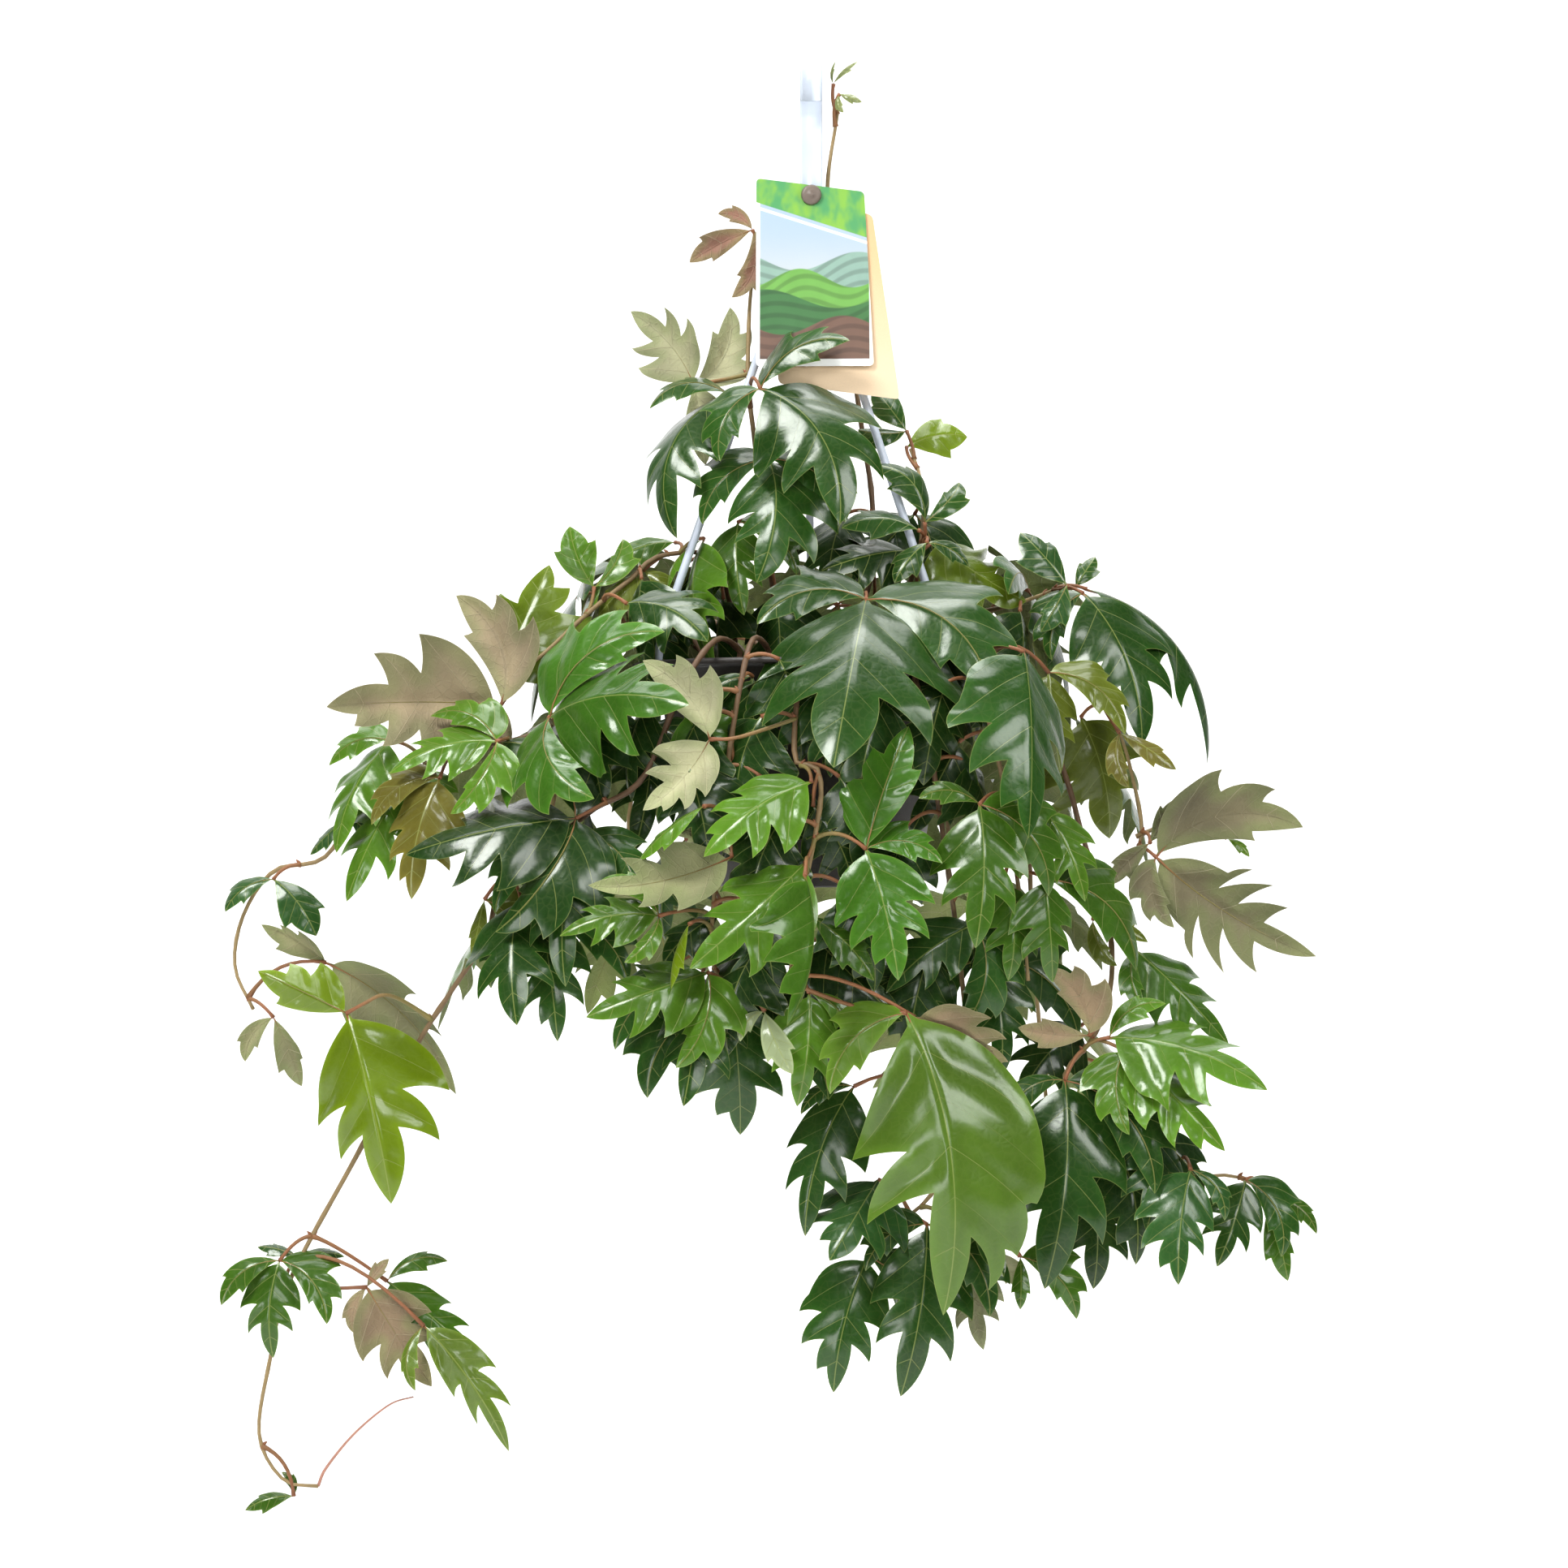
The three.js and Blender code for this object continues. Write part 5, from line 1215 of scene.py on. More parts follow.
def add_leaflet(build, leaflet, look, chance, patterns):
    """A blade with an upper side and an underside that share its edge, and its midrib."""
    surface = leaflet.surface
    length = surface.length
    step = "fine" if length > FINE_FROM else "middle" if length > MIDDLE_FROM else "coarse"
    name = leaflet.pattern
    if name == "lobed" and look in LOOK_PATTERNS:
        name = LOOK_PATTERNS[look]
    elif name == "lobed" and chance > 0.55:
        name = "broad"
    pattern = patterns[name, step]
    rim = pattern.rim
    u, v = pattern.places.T
    v = v * np.where(v < 0, leaflet.shares[0], leaflet.shares[1])
    puff = PUFFS.get(look, OTHER_PUFF)
    lift = blade_relief(u, v, pattern.edge, chance, puff, CREASES.get(look, 0.0))
    lift -= leaflet.sunk * smooth_step(u, 0.0, 0.2)
    lift *= length
    swell = bpy.context.scene.ivy_sizes.blade / MM / 2 * smooth_step(pattern.edge, 0.0, 0.03)
    upper = surface.at(u, v, lift + swell)
    lower = surface.at(u[rim:], v[rim:], (lift - swell)[rim:])
    blade = np.stack([u, v, pattern.edge], axis=1)
    count = len(upper)
    lower_index = np.concatenate([np.arange(rim), np.arange(count, count + len(lower))])
    triangles = np.vstack([pattern.triangles, lower_index[pattern.triangles][:, ::-1]])
    slots = np.repeat([UPPER, UNDER], len(pattern.triangles))
    tone, under = leaf_tones(look)
    shade = 0.8 + 0.4 * chance
    start = build.add(
        np.vstack([upper, lower]), triangles, slots, blade=np.vstack([blade, blade[rim:]]),
        grain=(length * MM, chance, 0.0), tone=tone * shade, under=under * shade)
    build.crisp_ring(start, rim)
    add_midrib(build, surface, chance)


def add_midrib(build, surface, chance):
    """The midrib: a tapering tube, mostly below the blade."""
    stems = bpy.context.scene.ivy_stems
    u = np.linspace(-0.01, 0.93, 11)
    radii = np.interp(u, (0, 0.15, 0.93), (0.7, 0.36, 0.08)) * min(1.0, surface.length / 80)
    lift = blade_relief(u, 0 * u, 0 * u + 0.05, chance, 1.0) * surface.length
    line = surface.at(u, 0, lift - radii * 0.55)
    rib = np.array(stems.vein) * (0.75, 0.55, 0.5)
    base = np.array(stems.petiole) * 1.1
    tones = base + (rib - base) * smooth_step(u, 0.0, 0.3)[:, None]
    tube(build, line, radii, STALK, sides=5, tone=tones, first_side=surface.side)


def add_stem(build, stem):
    """A stem, its branches and its tendrils, woody at the foot and thinner to the tip."""
    stems = bpy.context.scene.ivy_stems
    woody, young = np.array(stems.woody), np.array(stems.young)
    radius = bpy.context.scene.ivy_sizes.stem / MM
    for k, route in enumerate(stem_routes(stem)):
        fine = curve_points(route, 30 * len(route))
        count = max(8, round(line_length(fine) / NODE_STEP))
        line = evenly_spaced(fine, count)
        share = np.linspace(0, 1, count)
        nodes = np.maximum(0, np.cos(2 * math.pi * share * max(2, count // NODE_STEP)))
        swell = 1 + NODE_SWELL * nodes ** 6
        thick = radius * (1.0 if k == 0 else BRANCH_SHARE) * np.interp(share, (0, 0.7, 1), (1, 0.82, 0.55))
        start = 0.3 if k == 0 else -0.5
        tones = woody + (young - woody) * smooth_step(share, start, start + 0.6)[:, None]
        tube(build, line, thick * swell, STALK, tone=tones)
    for route in stem.tendrils:
        line = evenly_spaced(curve_points([seen(*spot) for spot in route], 60), 30)
        tube(build, line, np.linspace(0.75, 0.35, 30), STALK, sides=6, tone=stems.tendril)


def inner_leaves(places):
    """Dark leaves close to a stem, that close the plant's inside to the light behind. Their black-green tone
    is painted shade.
    """
    found = []
    for number, (x, y, z) in enumerate(places[::INNER_STEP]):
        radius = math.hypot(x, y)
        azimuth = math.degrees(math.atan2(x, -y))
        hidden = abs(x) < INNER_HALF_WIDTH and INNER_LOWEST < z < INNER_HIGHEST and radius < INNER_RADIUS
        if hidden and (z > RIM_Z + 16 or radius > RIM_RADIUS + 4):
            side = 1 if number % 2 else -1
            hub, tip = ((azimuth + side * swing, z - drop, radius + INNER_OUT)
                        for swing, drop in zip(INNER_SWINGS, INNER_DROPS))
            found.append(Leaf(hub, tip, (side * 14, 22), "black", wide=1.3, sway=side * 0.4))
    return found


def dress_leaf(build, leaf, leaflets, bow, stem, places, patterns, draw):
    """The blades of a leaf, its petiole and its bud."""
    scene = bpy.context.scene
    for leaflet in leaflets:
        add_leaflet(build, leaflet, leaf.look, draw(0, 1), patterns)
    line = petiole_line(leaf, stem, places, leaflets[0].surface, PETIOLE_BOW * bow)
    share = np.linspace(0, 1, len(line))
    radii = scene.ivy_sizes.petiole / MM * np.interp(share, (0, 0.12, 0.85, 1), (0.95, 0.72, 0.85, 1.35))
    tone = np.array(scene.ivy_stems.petiole) * (0.85 + 0.3 * draw(0, 1))
    fresh = np.array(scene.ivy_stems.vein) * (0.7, 0.6, 0.6)
    paler = 0.75 if leaf.look in FRESH_LOOKS else 0.15
    tones = tone + (fresh - tone) * paler * smooth_step(share, 0.0, 0.8)[:, None]
    tube(build, line, radii, STALK, tone=tones)
    add_bud(build, line, tone)


def add_bud(build, line, tone):
    """The small bud where a petiole leaves its stem."""
    foot, way = line[-1], unit(line[-3] - line[-1])
    upward = unit(way + (0.0, 0.0, 1.2))
    start = foot + upward * 0.8
    bud = np.array([start + upward * reach for reach in (0.0, 0.9, 1.8, 2.6)])
    tube(build, bud, (0.7, 0.85, 0.5, 0.15), STALK, sides=6, tone=tone)


# Materials


# The cells between a blade's finest veins, and how high its bumps stand in metres
CELLS_PER_METRE = 270.0
BLADE_BUMP = 0.0008
# The colour that a leaf's own wax lends to the light it throws back
LEAF_GLEAM = (0.86, 1.0, 0.72, 1.0)
UNDER_EDGE = (0.150, 0.215, 0.055)
UNDER_VEIN = (0.62, 0.56, 0.34)
FIBRE = (0.30, 0.22, 0.13)
# The tones of the front card, and its hills from far to near: how high on the card each one
# stands, how closely its waves follow each other, where they start, and its colour
FIELD_SHADE = (0.07, 0.29, 0.10)
SKY_LOW = (0.50, 0.52, 0.50)
SKY_HIGH = (0.34, 0.44, 0.54)
HILLS = (
    (0.56, 6.0, 2.6, (0.17, 0.27, 0.22)),
    (0.47, 7.0, 5.2, (0.10, 0.26, 0.045)),
    (0.36, 5.0, 1.2, (0.03, 0.11, 0.03)),
    (0.22, 6.0, 3.4, (0.11, 0.06, 0.04)),
)
CARD_PAPER = (0.86, 0.88, 0.85)
# The foot of the card behind, and the backdrop
FADED_ORANGE = (0.72, 0.55, 0.36)
STAGE_WHITE = (0.93, 0.93, 0.93)


class Value:
    """A number, colour or vector in a shader, worked on with Python's own operators."""

    def __init__(self, shader, socket):
        self.shader = shader
        self.socket = socket

    def __add__(self, other):
        return self.shader.math("ADD", self, other)

    def __radd__(self, other):
        return self.shader.math("ADD", other, self)

    def __sub__(self, other):
        return self.shader.math("SUBTRACT", self, other)

    def __rsub__(self, other):
        return self.shader.math("SUBTRACT", other, self)

    def __mul__(self, other):
        return self.shader.math("MULTIPLY", self, other)

    def __rmul__(self, other):
        return self.shader.math("MULTIPLY", other, self)

    def __truediv__(self, other):
        return self.shader.math("DIVIDE", self, other)

    def __rtruediv__(self, other):
        return self.shader.math("DIVIDE", other, self)

    def __abs__(self):
        return self.shader.math("ABSOLUTE", self)


class Shader:
    """A material whose nodes come from plain Python calls."""

    def __init__(self, name):
        self.material = bpy.data.materials.new(name)
        self.material.use_nodes = True
        self.tree = self.material.node_tree
        self.surface = self.tree.nodes["Principled BSDF"]

    def node(self, kind, settings=None, inputs=None):
        """Any node: its settings are set first, and then its sockets are fed."""
        made = self.tree.nodes.new(kind)
        for key, value in (settings or {}).items():
            setattr(made, key, value)
        for key, value in (inputs or {}).items():
            self.feed(made.inputs[key], value)
        return made

    def feed(self, socket, value):
        """Links a value to a socket, or sets the socket's own number or colour."""
        if isinstance(value, Value):
            self.tree.links.new(value.socket, socket)
        elif socket.type == "RGBA" and len(value) == 3:
            socket.default_value = (*value, 1.0)
        else:
            socket.default_value = value

    def math(self, operation, *values):
        """A sum on numbers."""
        made = self.node("ShaderNodeMath", {"operation": operation}, dict(enumerate(values)))
        return Value(self, made.outputs[0])

    def attribute(self, name, output="Vector"):
        """What the mesh says at a point."""
        made = self.node("ShaderNodeAttribute", {"attribute_name": name})
        return Value(self, made.outputs[output])

    def split(self, vector):
        """The three numbers of a vector."""
        made = self.node("ShaderNodeSeparateXYZ", None, {0: vector})
        return [Value(self, socket) for socket in made.outputs]

    def joined(self, x, y, z):
        """A vector of three numbers."""
        made = self.node("ShaderNodeCombineXYZ", None, {0: x, 1: y, 2: z})
        return Value(self, made.outputs[0])

    def place(self):
        """A point's place on its piece, in metres."""
        return Value(self, self.node("ShaderNodeTexCoord").outputs["Object"])

    def noise(self, vector, scale, detail=2.0, roughness=0.5):
        """A soft cloudy number between 0 and 1."""
        inputs = {"Vector": vector, "Scale": scale, "Detail": detail, "Roughness": roughness}
        return Value(self, self.node("ShaderNodeTexNoise", None, inputs).outputs["Fac"])

    def cell_edge(self, vector, scale):
        """How far a point is from the edge of its cell."""
        inputs = {"Vector": vector, "Scale": scale}
        made = self.node("ShaderNodeTexVoronoi", {"feature": "DISTANCE_TO_EDGE"}, inputs)
        return Value(self, made.outputs["Distance"])

    def rise(self, value, low, high):
        """0 below low, 1 above high, and a smooth rise between."""
        inputs = {0: value, 1: low, 2: high, 3: 0.0, 4: 1.0}
        made = self.node("ShaderNodeMapRange", {"interpolation_type": "SMOOTHSTEP"}, inputs)
        return Value(self, made.outputs[0])

    def fall(self, value, low, high):
        """1 below low, 0 above high, and a smooth fall between."""
        return 1.0 - self.rise(value, low, high)

    def mix(self, factor, first, second):
        """A colour between two others."""
        inputs = {0: factor, 6: first, 7: second}
        return Value(self, self.node("ShaderNodeMix", {"data_type": "RGBA"}, inputs).outputs[2])

    def tinted(self, tint, factor):
        """A colour made lighter or darker by a number."""
        inputs = {0: tint, "Scale": factor}
        return Value(self, self.node("ShaderNodeVectorMath", {"operation": "SCALE"}, inputs).outputs[0])

    def bump(self, height, strength, distance):
        """The surface's direction over small heights."""
        inputs = {"Height": height, "Strength": strength, "Distance": distance}
        return Value(self, self.node("ShaderNodeBump", None, inputs).outputs[0])

    def finish(self, **values):
        """Feeds the surface's sockets, where an underscore stands for a space."""
        for key, value in values.items():
            self.feed(self.surface.inputs[key.replace("_", " ")], value)
        return self.material


def vein_masks(shader):
    """Where a blade's veins and its edge lie, from 0 to 1, and what they are worked out from."""
    u, v, edge = shader.split(shader.attribute("blade"))
    length, chance = shader.split(shader.attribute("grain"))[:2]
    across = abs(v)
    half_width = bpy.context.scene.ivy_sizes.vein / length
    phase = (u - across * VEIN_SLOPE - across * across * VEIN_BEND - VEIN_START) * VEINS
    beat = shader.math("FRACT", phase + 0.5)
    off_vein = abs(beat - 0.5) * (0.8 / VEINS)
    into_lobe = abs(shader.math("SINE", phase * (math.pi / 2)))
    side = shader.fall(off_vein, half_width * 0.5, half_width * 1.5)
    side = side * (FAINT_VEIN + (1 - FAINT_VEIN) * shader.rise(into_lobe, 0.4, 0.8))
    side = side * shader.rise(edge, 0.0, 0.03) * shader.rise(u, 0.05, 0.1)
    flat = shader.joined(u * length, v * length, chance)
    return SimpleNamespace(
        along=u, across=across, edge=edge, side=side, cell=shader.cell_edge(flat, CELLS_PER_METRE),
        main=shader.fall(across, half_width, half_width * 2.0),
        border=shader.fall(edge, half_width * 0.9, half_width * 2.0))


def leaf_upper_material():
    """The glossy upper side: quilted cells between pale veins, with a thin pale margin and a painted
    highlight along the edge.
    """
    shader = Shader("leaf_upper")
    blade = vein_masks(shader)
    vein = tuple(bpy.context.scene.ivy_stems.vein)
    net = shader.fall(blade.cell, 0.0, 0.1)
    clouds = shader.noise(shader.place(), 38.0, 3.0)
    tone = shader.attribute("tone", "Color")
    body = shader.tinted(tone, 0.62 + clouds * 0.56 + shader.rise(blade.along, 0.0, 0.7) * 0.16)
    warm = shader.mix(shader.rise(clouds, 0.55, 0.8) * 0.35, body, shader.tinted(tone, 1.45))
    netted = shader.mix(net * 0.12, warm, shader.mix(0.3, tone, vein))
    # Painted highlight: a wide band along the edge is lightened where curled edges and lobe tips catch the
    # light; the thin pale margin is the border line below.
    paler = shader.mix(shader.fall(blade.edge, 0.0, 0.05) * 0.35, netted, shader.tinted(tone, 1.9))
    lines = shader.math("MAXIMUM", blade.side * 0.42, blade.main * 0.45)
    lines = shader.math("MAXIMUM", lines, blade.border * 0.35)
    height = shader.rise(blade.cell, 0.0, 0.35) * 0.2 + clouds * 1.4 - blade.side * 1.2
    return shader.finish(
        Base_Color=shader.mix(lines, paler, vein), Roughness=0.24 + clouds * 0.14 + net * 0.05,
        Normal=shader.bump(height, 0.4, BLADE_BUMP), Specular_IOR_Level=0.2,
        Specular_Tint=LEAF_GLEAM, Coat_Weight=0.55, Coat_Roughness=0.17)


def leaf_under_material():
    """The dull, downy underside with raised veins."""
    shader = Shader("leaf_underside")
    blade = vein_masks(shader)
    net = shader.fall(blade.cell, 0.0, 0.12)
    clouds = shader.noise(shader.place(), 26.0, 3.0)
    down = shader.noise(shader.place(), 1500.0, 1.0)
    tone = shader.attribute("under", "Color")
    greener = shader.mix(shader.fall(blade.edge, 0.02, 0.13) * 0.35, tone, UNDER_EDGE)
    near_vein = shader.fall(blade.across, 0.0, 0.22)
    # The strong light and dark blotching from clouds is partly random tone and partly painted shade standing
    # in for the shading of the folds.
    body = shader.tinted(greener, 0.2 + clouds * 1.25 + near_vein * 0.3 + down * 0.12)
    lines = shader.math("MAXIMUM", blade.side * 0.8, net * 0.08)
    lines = shader.math("MAXIMUM", lines, blade.border * 0.4)
    height = blade.side * 1.5 + blade.main + net * 0.25 + down * 0.2
    return shader.finish(
        Base_Color=shader.mix(lines, body, shader.mix(0.35, tone, UNDER_VEIN)),
        Roughness=0.62 + clouds * 0.12, Normal=shader.bump(height, 0.6, BLADE_BUMP),
        Specular_IOR_Level=0.35)


def stalk_material():
    """Stems, petioles and midribs: fine lengthwise streaks and down."""
    shader = Shader("stalks")
    along = shader.split(shader.attribute("blade"))[0]
    tone = shader.attribute("tone", "Color")
    streaks = shader.noise(shader.joined(along * 60.0, 0.0, 0.0), 3.0, 3.0)
    down = shader.noise(shader.place(), 900.0, 2.0)
    base = shader.tinted(tone, 0.6 + streaks * 0.5 + down * 0.35)
    return shader.finish(
        Base_Color=base, Roughness=0.5 + down * 0.2, Normal=shader.bump(down, 0.35, 0.0004))


def plastic_material(name, tone, roughness, grain, coat=0.0):
    """Moulded plastic with a fine grain and slight wear in its gloss."""
    shader = Shader(name)
    place = shader.place()
    patches = shader.noise(place, 30.0, 3.0)
    fine = shader.noise(place, 1400.0, 2.0)
    return shader.finish(
        Base_Color=shader.tinted(tone, 0.86 + patches * 0.28), Roughness=roughness - 0.06 + patches * 0.14,
        Normal=shader.bump(fine, grain, 0.0003), Coat_Weight=coat)


def soil_material():
    """Damp dark mix with paler fibres and grit."""
    shader = Shader("potting_mix")
    place = shader.place()
    lumps = shader.noise(place, 160.0, 5.0, 0.65)
    grit = shader.noise(place, 900.0, 2.0)
    pale = shader.rise(grit, 0.66, 0.74) * 0.7
    base = shader.tinted(shader.mix(pale, holder_tone("soil"), FIBRE), 0.45 + lumps * 1.1)
    return shader.finish(
        Base_Color=base, Roughness=0.95, Normal=shader.bump(lumps + grit * 0.3, 0.8, 0.003))


def front_card_material():
    """A plain printed card: a slanting green field with a thin stripe under it, over a pale
    sky and rolling hills with planted rows, with a pale border."""
    shader = Shader("card_front")
    across, up = shader.split(shader.attribute("blade"))[:2]
    drift = shader.noise(shader.joined(across * 3.0, up * 3.0, 0.0), 2.5, 2.0)
    slant = up + across * 0.2
    field = shader.rise(slant, 0.87, 0.875)
    lit = shader.mix(shader.rise(drift, 0.35, 0.65), FIELD_SHADE, holder_tone("card_green"))
    picture = shader.mix(shader.rise(up, 0.3, 0.8), SKY_LOW, SKY_HIGH)
    for height, swell, start, tone in HILLS:
        below = shader.math("SINE", across * swell + start) * 0.05 + height - up
        rows = abs(shader.math("FRACT", below * 16.0 + across * 2.0) - 0.5)
        planted = shader.tinted(tone, 0.8 + shader.rise(rows, 0.1, 0.3) * 0.4 + drift * 0.2)
        picture = shader.mix(shader.rise(below, 0.0, 0.008), picture, planted)
    stripe = shader.rise(slant, 0.835, 0.84) * shader.fall(slant, 0.85, 0.855)
    printed = shader.mix(stripe, shader.mix(field, picture, lit), CARD_PAPER)
    border = shader.rise(abs(across - 0.5), 0.465, 0.47)
    border = shader.math("MAXIMUM", border, shader.fall(up, 0.035, 0.04))
    base = shader.mix(border * (1.0 - field), printed, CARD_PAPER)
    return shader.finish(Base_Color=base, Roughness=0.3 + drift * 0.08, Coat_Weight=0.25)


def back_card_material():
    """The card behind: warm orange that fades to cream, with faint fibres."""
    shader = Shader("card_back")
    across, up = shader.split(shader.attribute("blade"))[:2]
    fade = shader.mix(shader.rise(up, 0.0, 0.9), FADED_ORANGE, holder_tone("card_orange"))
    fibres = shader.noise(shader.joined(across * 40.0, up * 60.0, 0.0), 2.0, 3.0)
    base = shader.tinted(fade, 0.94 + fibres * 0.12)
    return shader.finish(Base_Color=base, Roughness=0.55 + fibres * 0.1)


# Pieces


def corner_arc(before, corner, after, radius, steps):
    """Points that round a corner between the lines to the points before and after it."""
    ways = (before - corner, after - corner)
    start, end = (corner + unit(way) * min(radius, np.linalg.norm(way) * 0.45) for way in ways)
    return [bezier(start, corner, end, t) for t in np.linspace(0, 1, steps)]


def rounded(points, radius):
    """A line of points with its inner corners rounded."""
    points = [np.array(p, float) for p in points]
    made = [points[0]]
    for before, corner, after in zip(points, points[1:], points[2:]):
        made += corner_arc(before, corner, after, radius, 6)
    return np.array([*made, points[-1]])


def make_pot():
    """The pot: a thin tapered shell with a rolled rim and a foot ring."""
    floor = RIM_Z - POT_HEIGHT
    under_rim = RIM_Z - RIM_THICKNESS
    inner_top = POT_TOP_RADIUS - POT_WALL
    inner_foot = POT_BOTTOM_RADIUS - POT_WALL
    outer = [
        (0, floor + FOOT_RING_HEIGHT), (POT_BOTTOM_RADIUS - 6.6, floor + FOOT_RING_HEIGHT),
        (POT_BOTTOM_RADIUS - 6, floor + FOOT_RING_HEIGHT - 0.6), (POT_BOTTOM_RADIUS - 6, floor + 0.5),
        (POT_BOTTOM_RADIUS - 5.5, floor), (POT_BOTTOM_RADIUS - 0.9, floor), (POT_BOTTOM_RADIUS, floor + 0.9),
    ]
    flare = POT_TOP_RADIUS - POT_BOTTOM_RADIUS
    height = under_rim - floor - 0.9
    wall = [(POT_BOTTOM_RADIUS + flare * t, floor + 0.9 + height * t) for t in (0.2, 0.4, 0.6, 0.8, 0.9)]
    plate = floor + FOOT_RING_HEIGHT + POT_WALL
    rim = [
        (POT_TOP_RADIUS, under_rim - 0.8), (POT_TOP_RADIUS + 0.8, under_rim), (RIM_RADIUS - 0.8, under_rim),
        (RIM_RADIUS, under_rim + 0.8), (RIM_RADIUS, RIM_Z - 0.8), (RIM_RADIUS - 0.8, RIM_Z),
        (inner_top + 0.8, RIM_Z), (inner_top, RIM_Z - 0.8), (inner_foot, plate + 1.5),
        (inner_foot - 1.5, plate), (0, plate),
    ]
    build = Build()
    lathe(build, outer + wall + rim, 96)
    material = plastic_material("pot_plastic", holder_tone("pot"), 0.42, 0.25)
    made = build.piece("pot_shell", "pot", [material])
    drills = Build()
    for angle in ROD_ANGLES.values():
        drill(drills, around(angle, RIM_Z, ROD_FOOT_RADIUS), ROD_RADIUS + 0.3, RIM_THICKNESS + 2)
    for k in range(DRAIN_COUNT):
        place = around(k * 360 / DRAIN_COUNT, floor + FOOT_RING_HEIGHT, POT_BOTTOM_RADIUS * DRAIN_SHARE)
        drill(drills, place, DRAIN_RADIUS, POT_WALL + 2)
    cut_holes(made, drills)


def drill(build, place, radius, reach):
    """An upright cylinder round a place."""
    line = [place - (0, 0, reach), place, place + (0, 0, reach)]
    tube(build, line, radius, 0, sides=24)


def cut_holes(made, drills):
    """Cuts the cylinders out of a piece."""
    mesh = bpy.data.meshes.new("drills")
    mesh.from_pydata(np.vstack(drills.points).tolist(), [], np.vstack(drills.triangles).tolist())
    cutter = bpy.data.objects.new("drills", mesh)
    bpy.context.scene.collection.objects.link(cutter)
    cut = made.modifiers.new("holes", "BOOLEAN")
    cut.object = cutter
    cut.solver = "EXACT"
    whole = made.data
    made.data = bpy.data.meshes.new_from_object(made.evaluated_get(bpy.context.evaluated_depsgraph_get()))
    made.modifiers.clear()
    bpy.data.objects.remove(cutter)
    bpy.data.meshes.remove(mesh)
    bpy.data.meshes.remove(whole)


def make_soil():
    """The soil: a crowned top with lumps and crumbs, and plain sides down in the pot."""
    floor = RIM_Z - POT_HEIGHT + FOOT_RING_HEIGHT + POT_WALL + 0.3
    slope = (POT_TOP_RADIUS - POT_BOTTOM_RADIUS) / (POT_HEIGHT - RIM_THICKNESS)
    reach = POT_TOP_RADIUS - POT_WALL - 0.9

    def inner(z):
        return reach - (RIM_Z - z) * slope

    top = inner(SOIL_TOP_Z)
    profile = [(0, floor), (inner(floor), floor), (top, SOIL_TOP_Z)]
    for k in range(1, SOIL_RINGS):
        share = 1 - k / SOIL_RINGS
        profile.append((top * share, SOIL_TOP_Z + SOIL_CROWN * (1 - share ** 2)))
    profile.append((0, SOIL_TOP_Z + SOIL_CROWN))
    build = Build()
    lathe(build, profile, 80)
    points = build.points[0]
    draw = seeded_draws(SOIL_SEED)
    for point in points:
        if point[2] > (SOIL_TOP_Z - 0.5) * MM and np.hypot(point[0], point[1]) < (top - 1) * MM:
            point[2] += draw(-1.2, 1.4) * MM
    for _ in range(CRUMBS):
        azimuth, radius = draw(0, 360), top * math.sqrt(draw(0, 0.94))
        height = SOIL_TOP_Z + SOIL_CROWN * (1 - (radius / top) ** 2)
        add_crumb(build, around(azimuth, height, radius), draw(0.8, 2.4), draw)
    build.piece("soil_surface", "soil", [soil_material()])


def add_crumb(build, centre, radius, draw):
    """A small uneven lump with eight faces."""
    corners = [(1, 0, 0), (-1, 0, 0), (0, 1, 0), (0, -1, 0), (0, 0, 1), (0, 0, -1)]
    points = [centre + np.array(c) * radius * draw(0.6, 1.2) for c in corners]
    triangles = [(0, 2, 4), (2, 1, 4), (1, 3, 4), (3, 0, 4), (2, 0, 5), (1, 2, 5), (3, 1, 5), (0, 3, 5)]
    build.add(points, triangles, 0)


def strap_line():
    """The middle line of the strap in the YZ plane, from its foot over the hook's top."""
    radius = HOOK_INNER_RADIUS + STRAP_THICKNESS / 2
    rise = rounded([(0, STRAP_FOOT_Z), (0, -56), (radius, -34), (radius, -HOOK_INNER_RADIUS)], 9)
    arch = [(radius * math.cos(a), radius * math.sin(a) - HOOK_INNER_RADIUS)
            for a in np.linspace(0, math.pi, 25)]
    flat = np.vstack([rise[:-1], arch, [(-radius, -HOOK_FLAP_DROP)]])
    return np.stack([np.zeros(len(flat)), flat[:, 0], flat[:, 1]], axis=1)


def add_strap(build):
    """The strap: a band with rounded edges and a raised bead along each of them."""
    half, thick = STRAP_WIDTH / 2, STRAP_THICKNESS / 2
    edge = [(0, 0), (0.12, thick * 0.75), (0.5, thick), (1.2, thick), (1.5, thick * 0.62)]
    section = [(x - half, y) for x, y in edge] + [(0, thick * 0.62)]
    section += [(half - x, y) for x, y in edge[:0:-1]]
    section += [(-x, -y) for x, y in section]
    line = strap_line() + (STRAP_LEFT + half, 0, 0)
    ways = np.gradient(line, axis=0)
    ways /= np.linalg.norm(ways, axis=1)[:, None]
    across = np.array((1.0, 0.0, 0.0))
    over = np.cross(ways, across)
    points = np.concatenate([line[:, None] + across * x + over[:, None] * y for x, y in section], axis=1)
    count, sides = len(line), len(section)
    points = points.reshape(-1, 3)
    triangles = [band[::-1] for band in ring_bands(count, sides)]
    last = (count - 1) * sides
    triangles += [(0, i, i + 1) for i in range(1, sides - 1)]
    triangles += [(last, last + i + 1, last + i) for i in range(1, sides - 1)]
    build.add(points, triangles, 0)


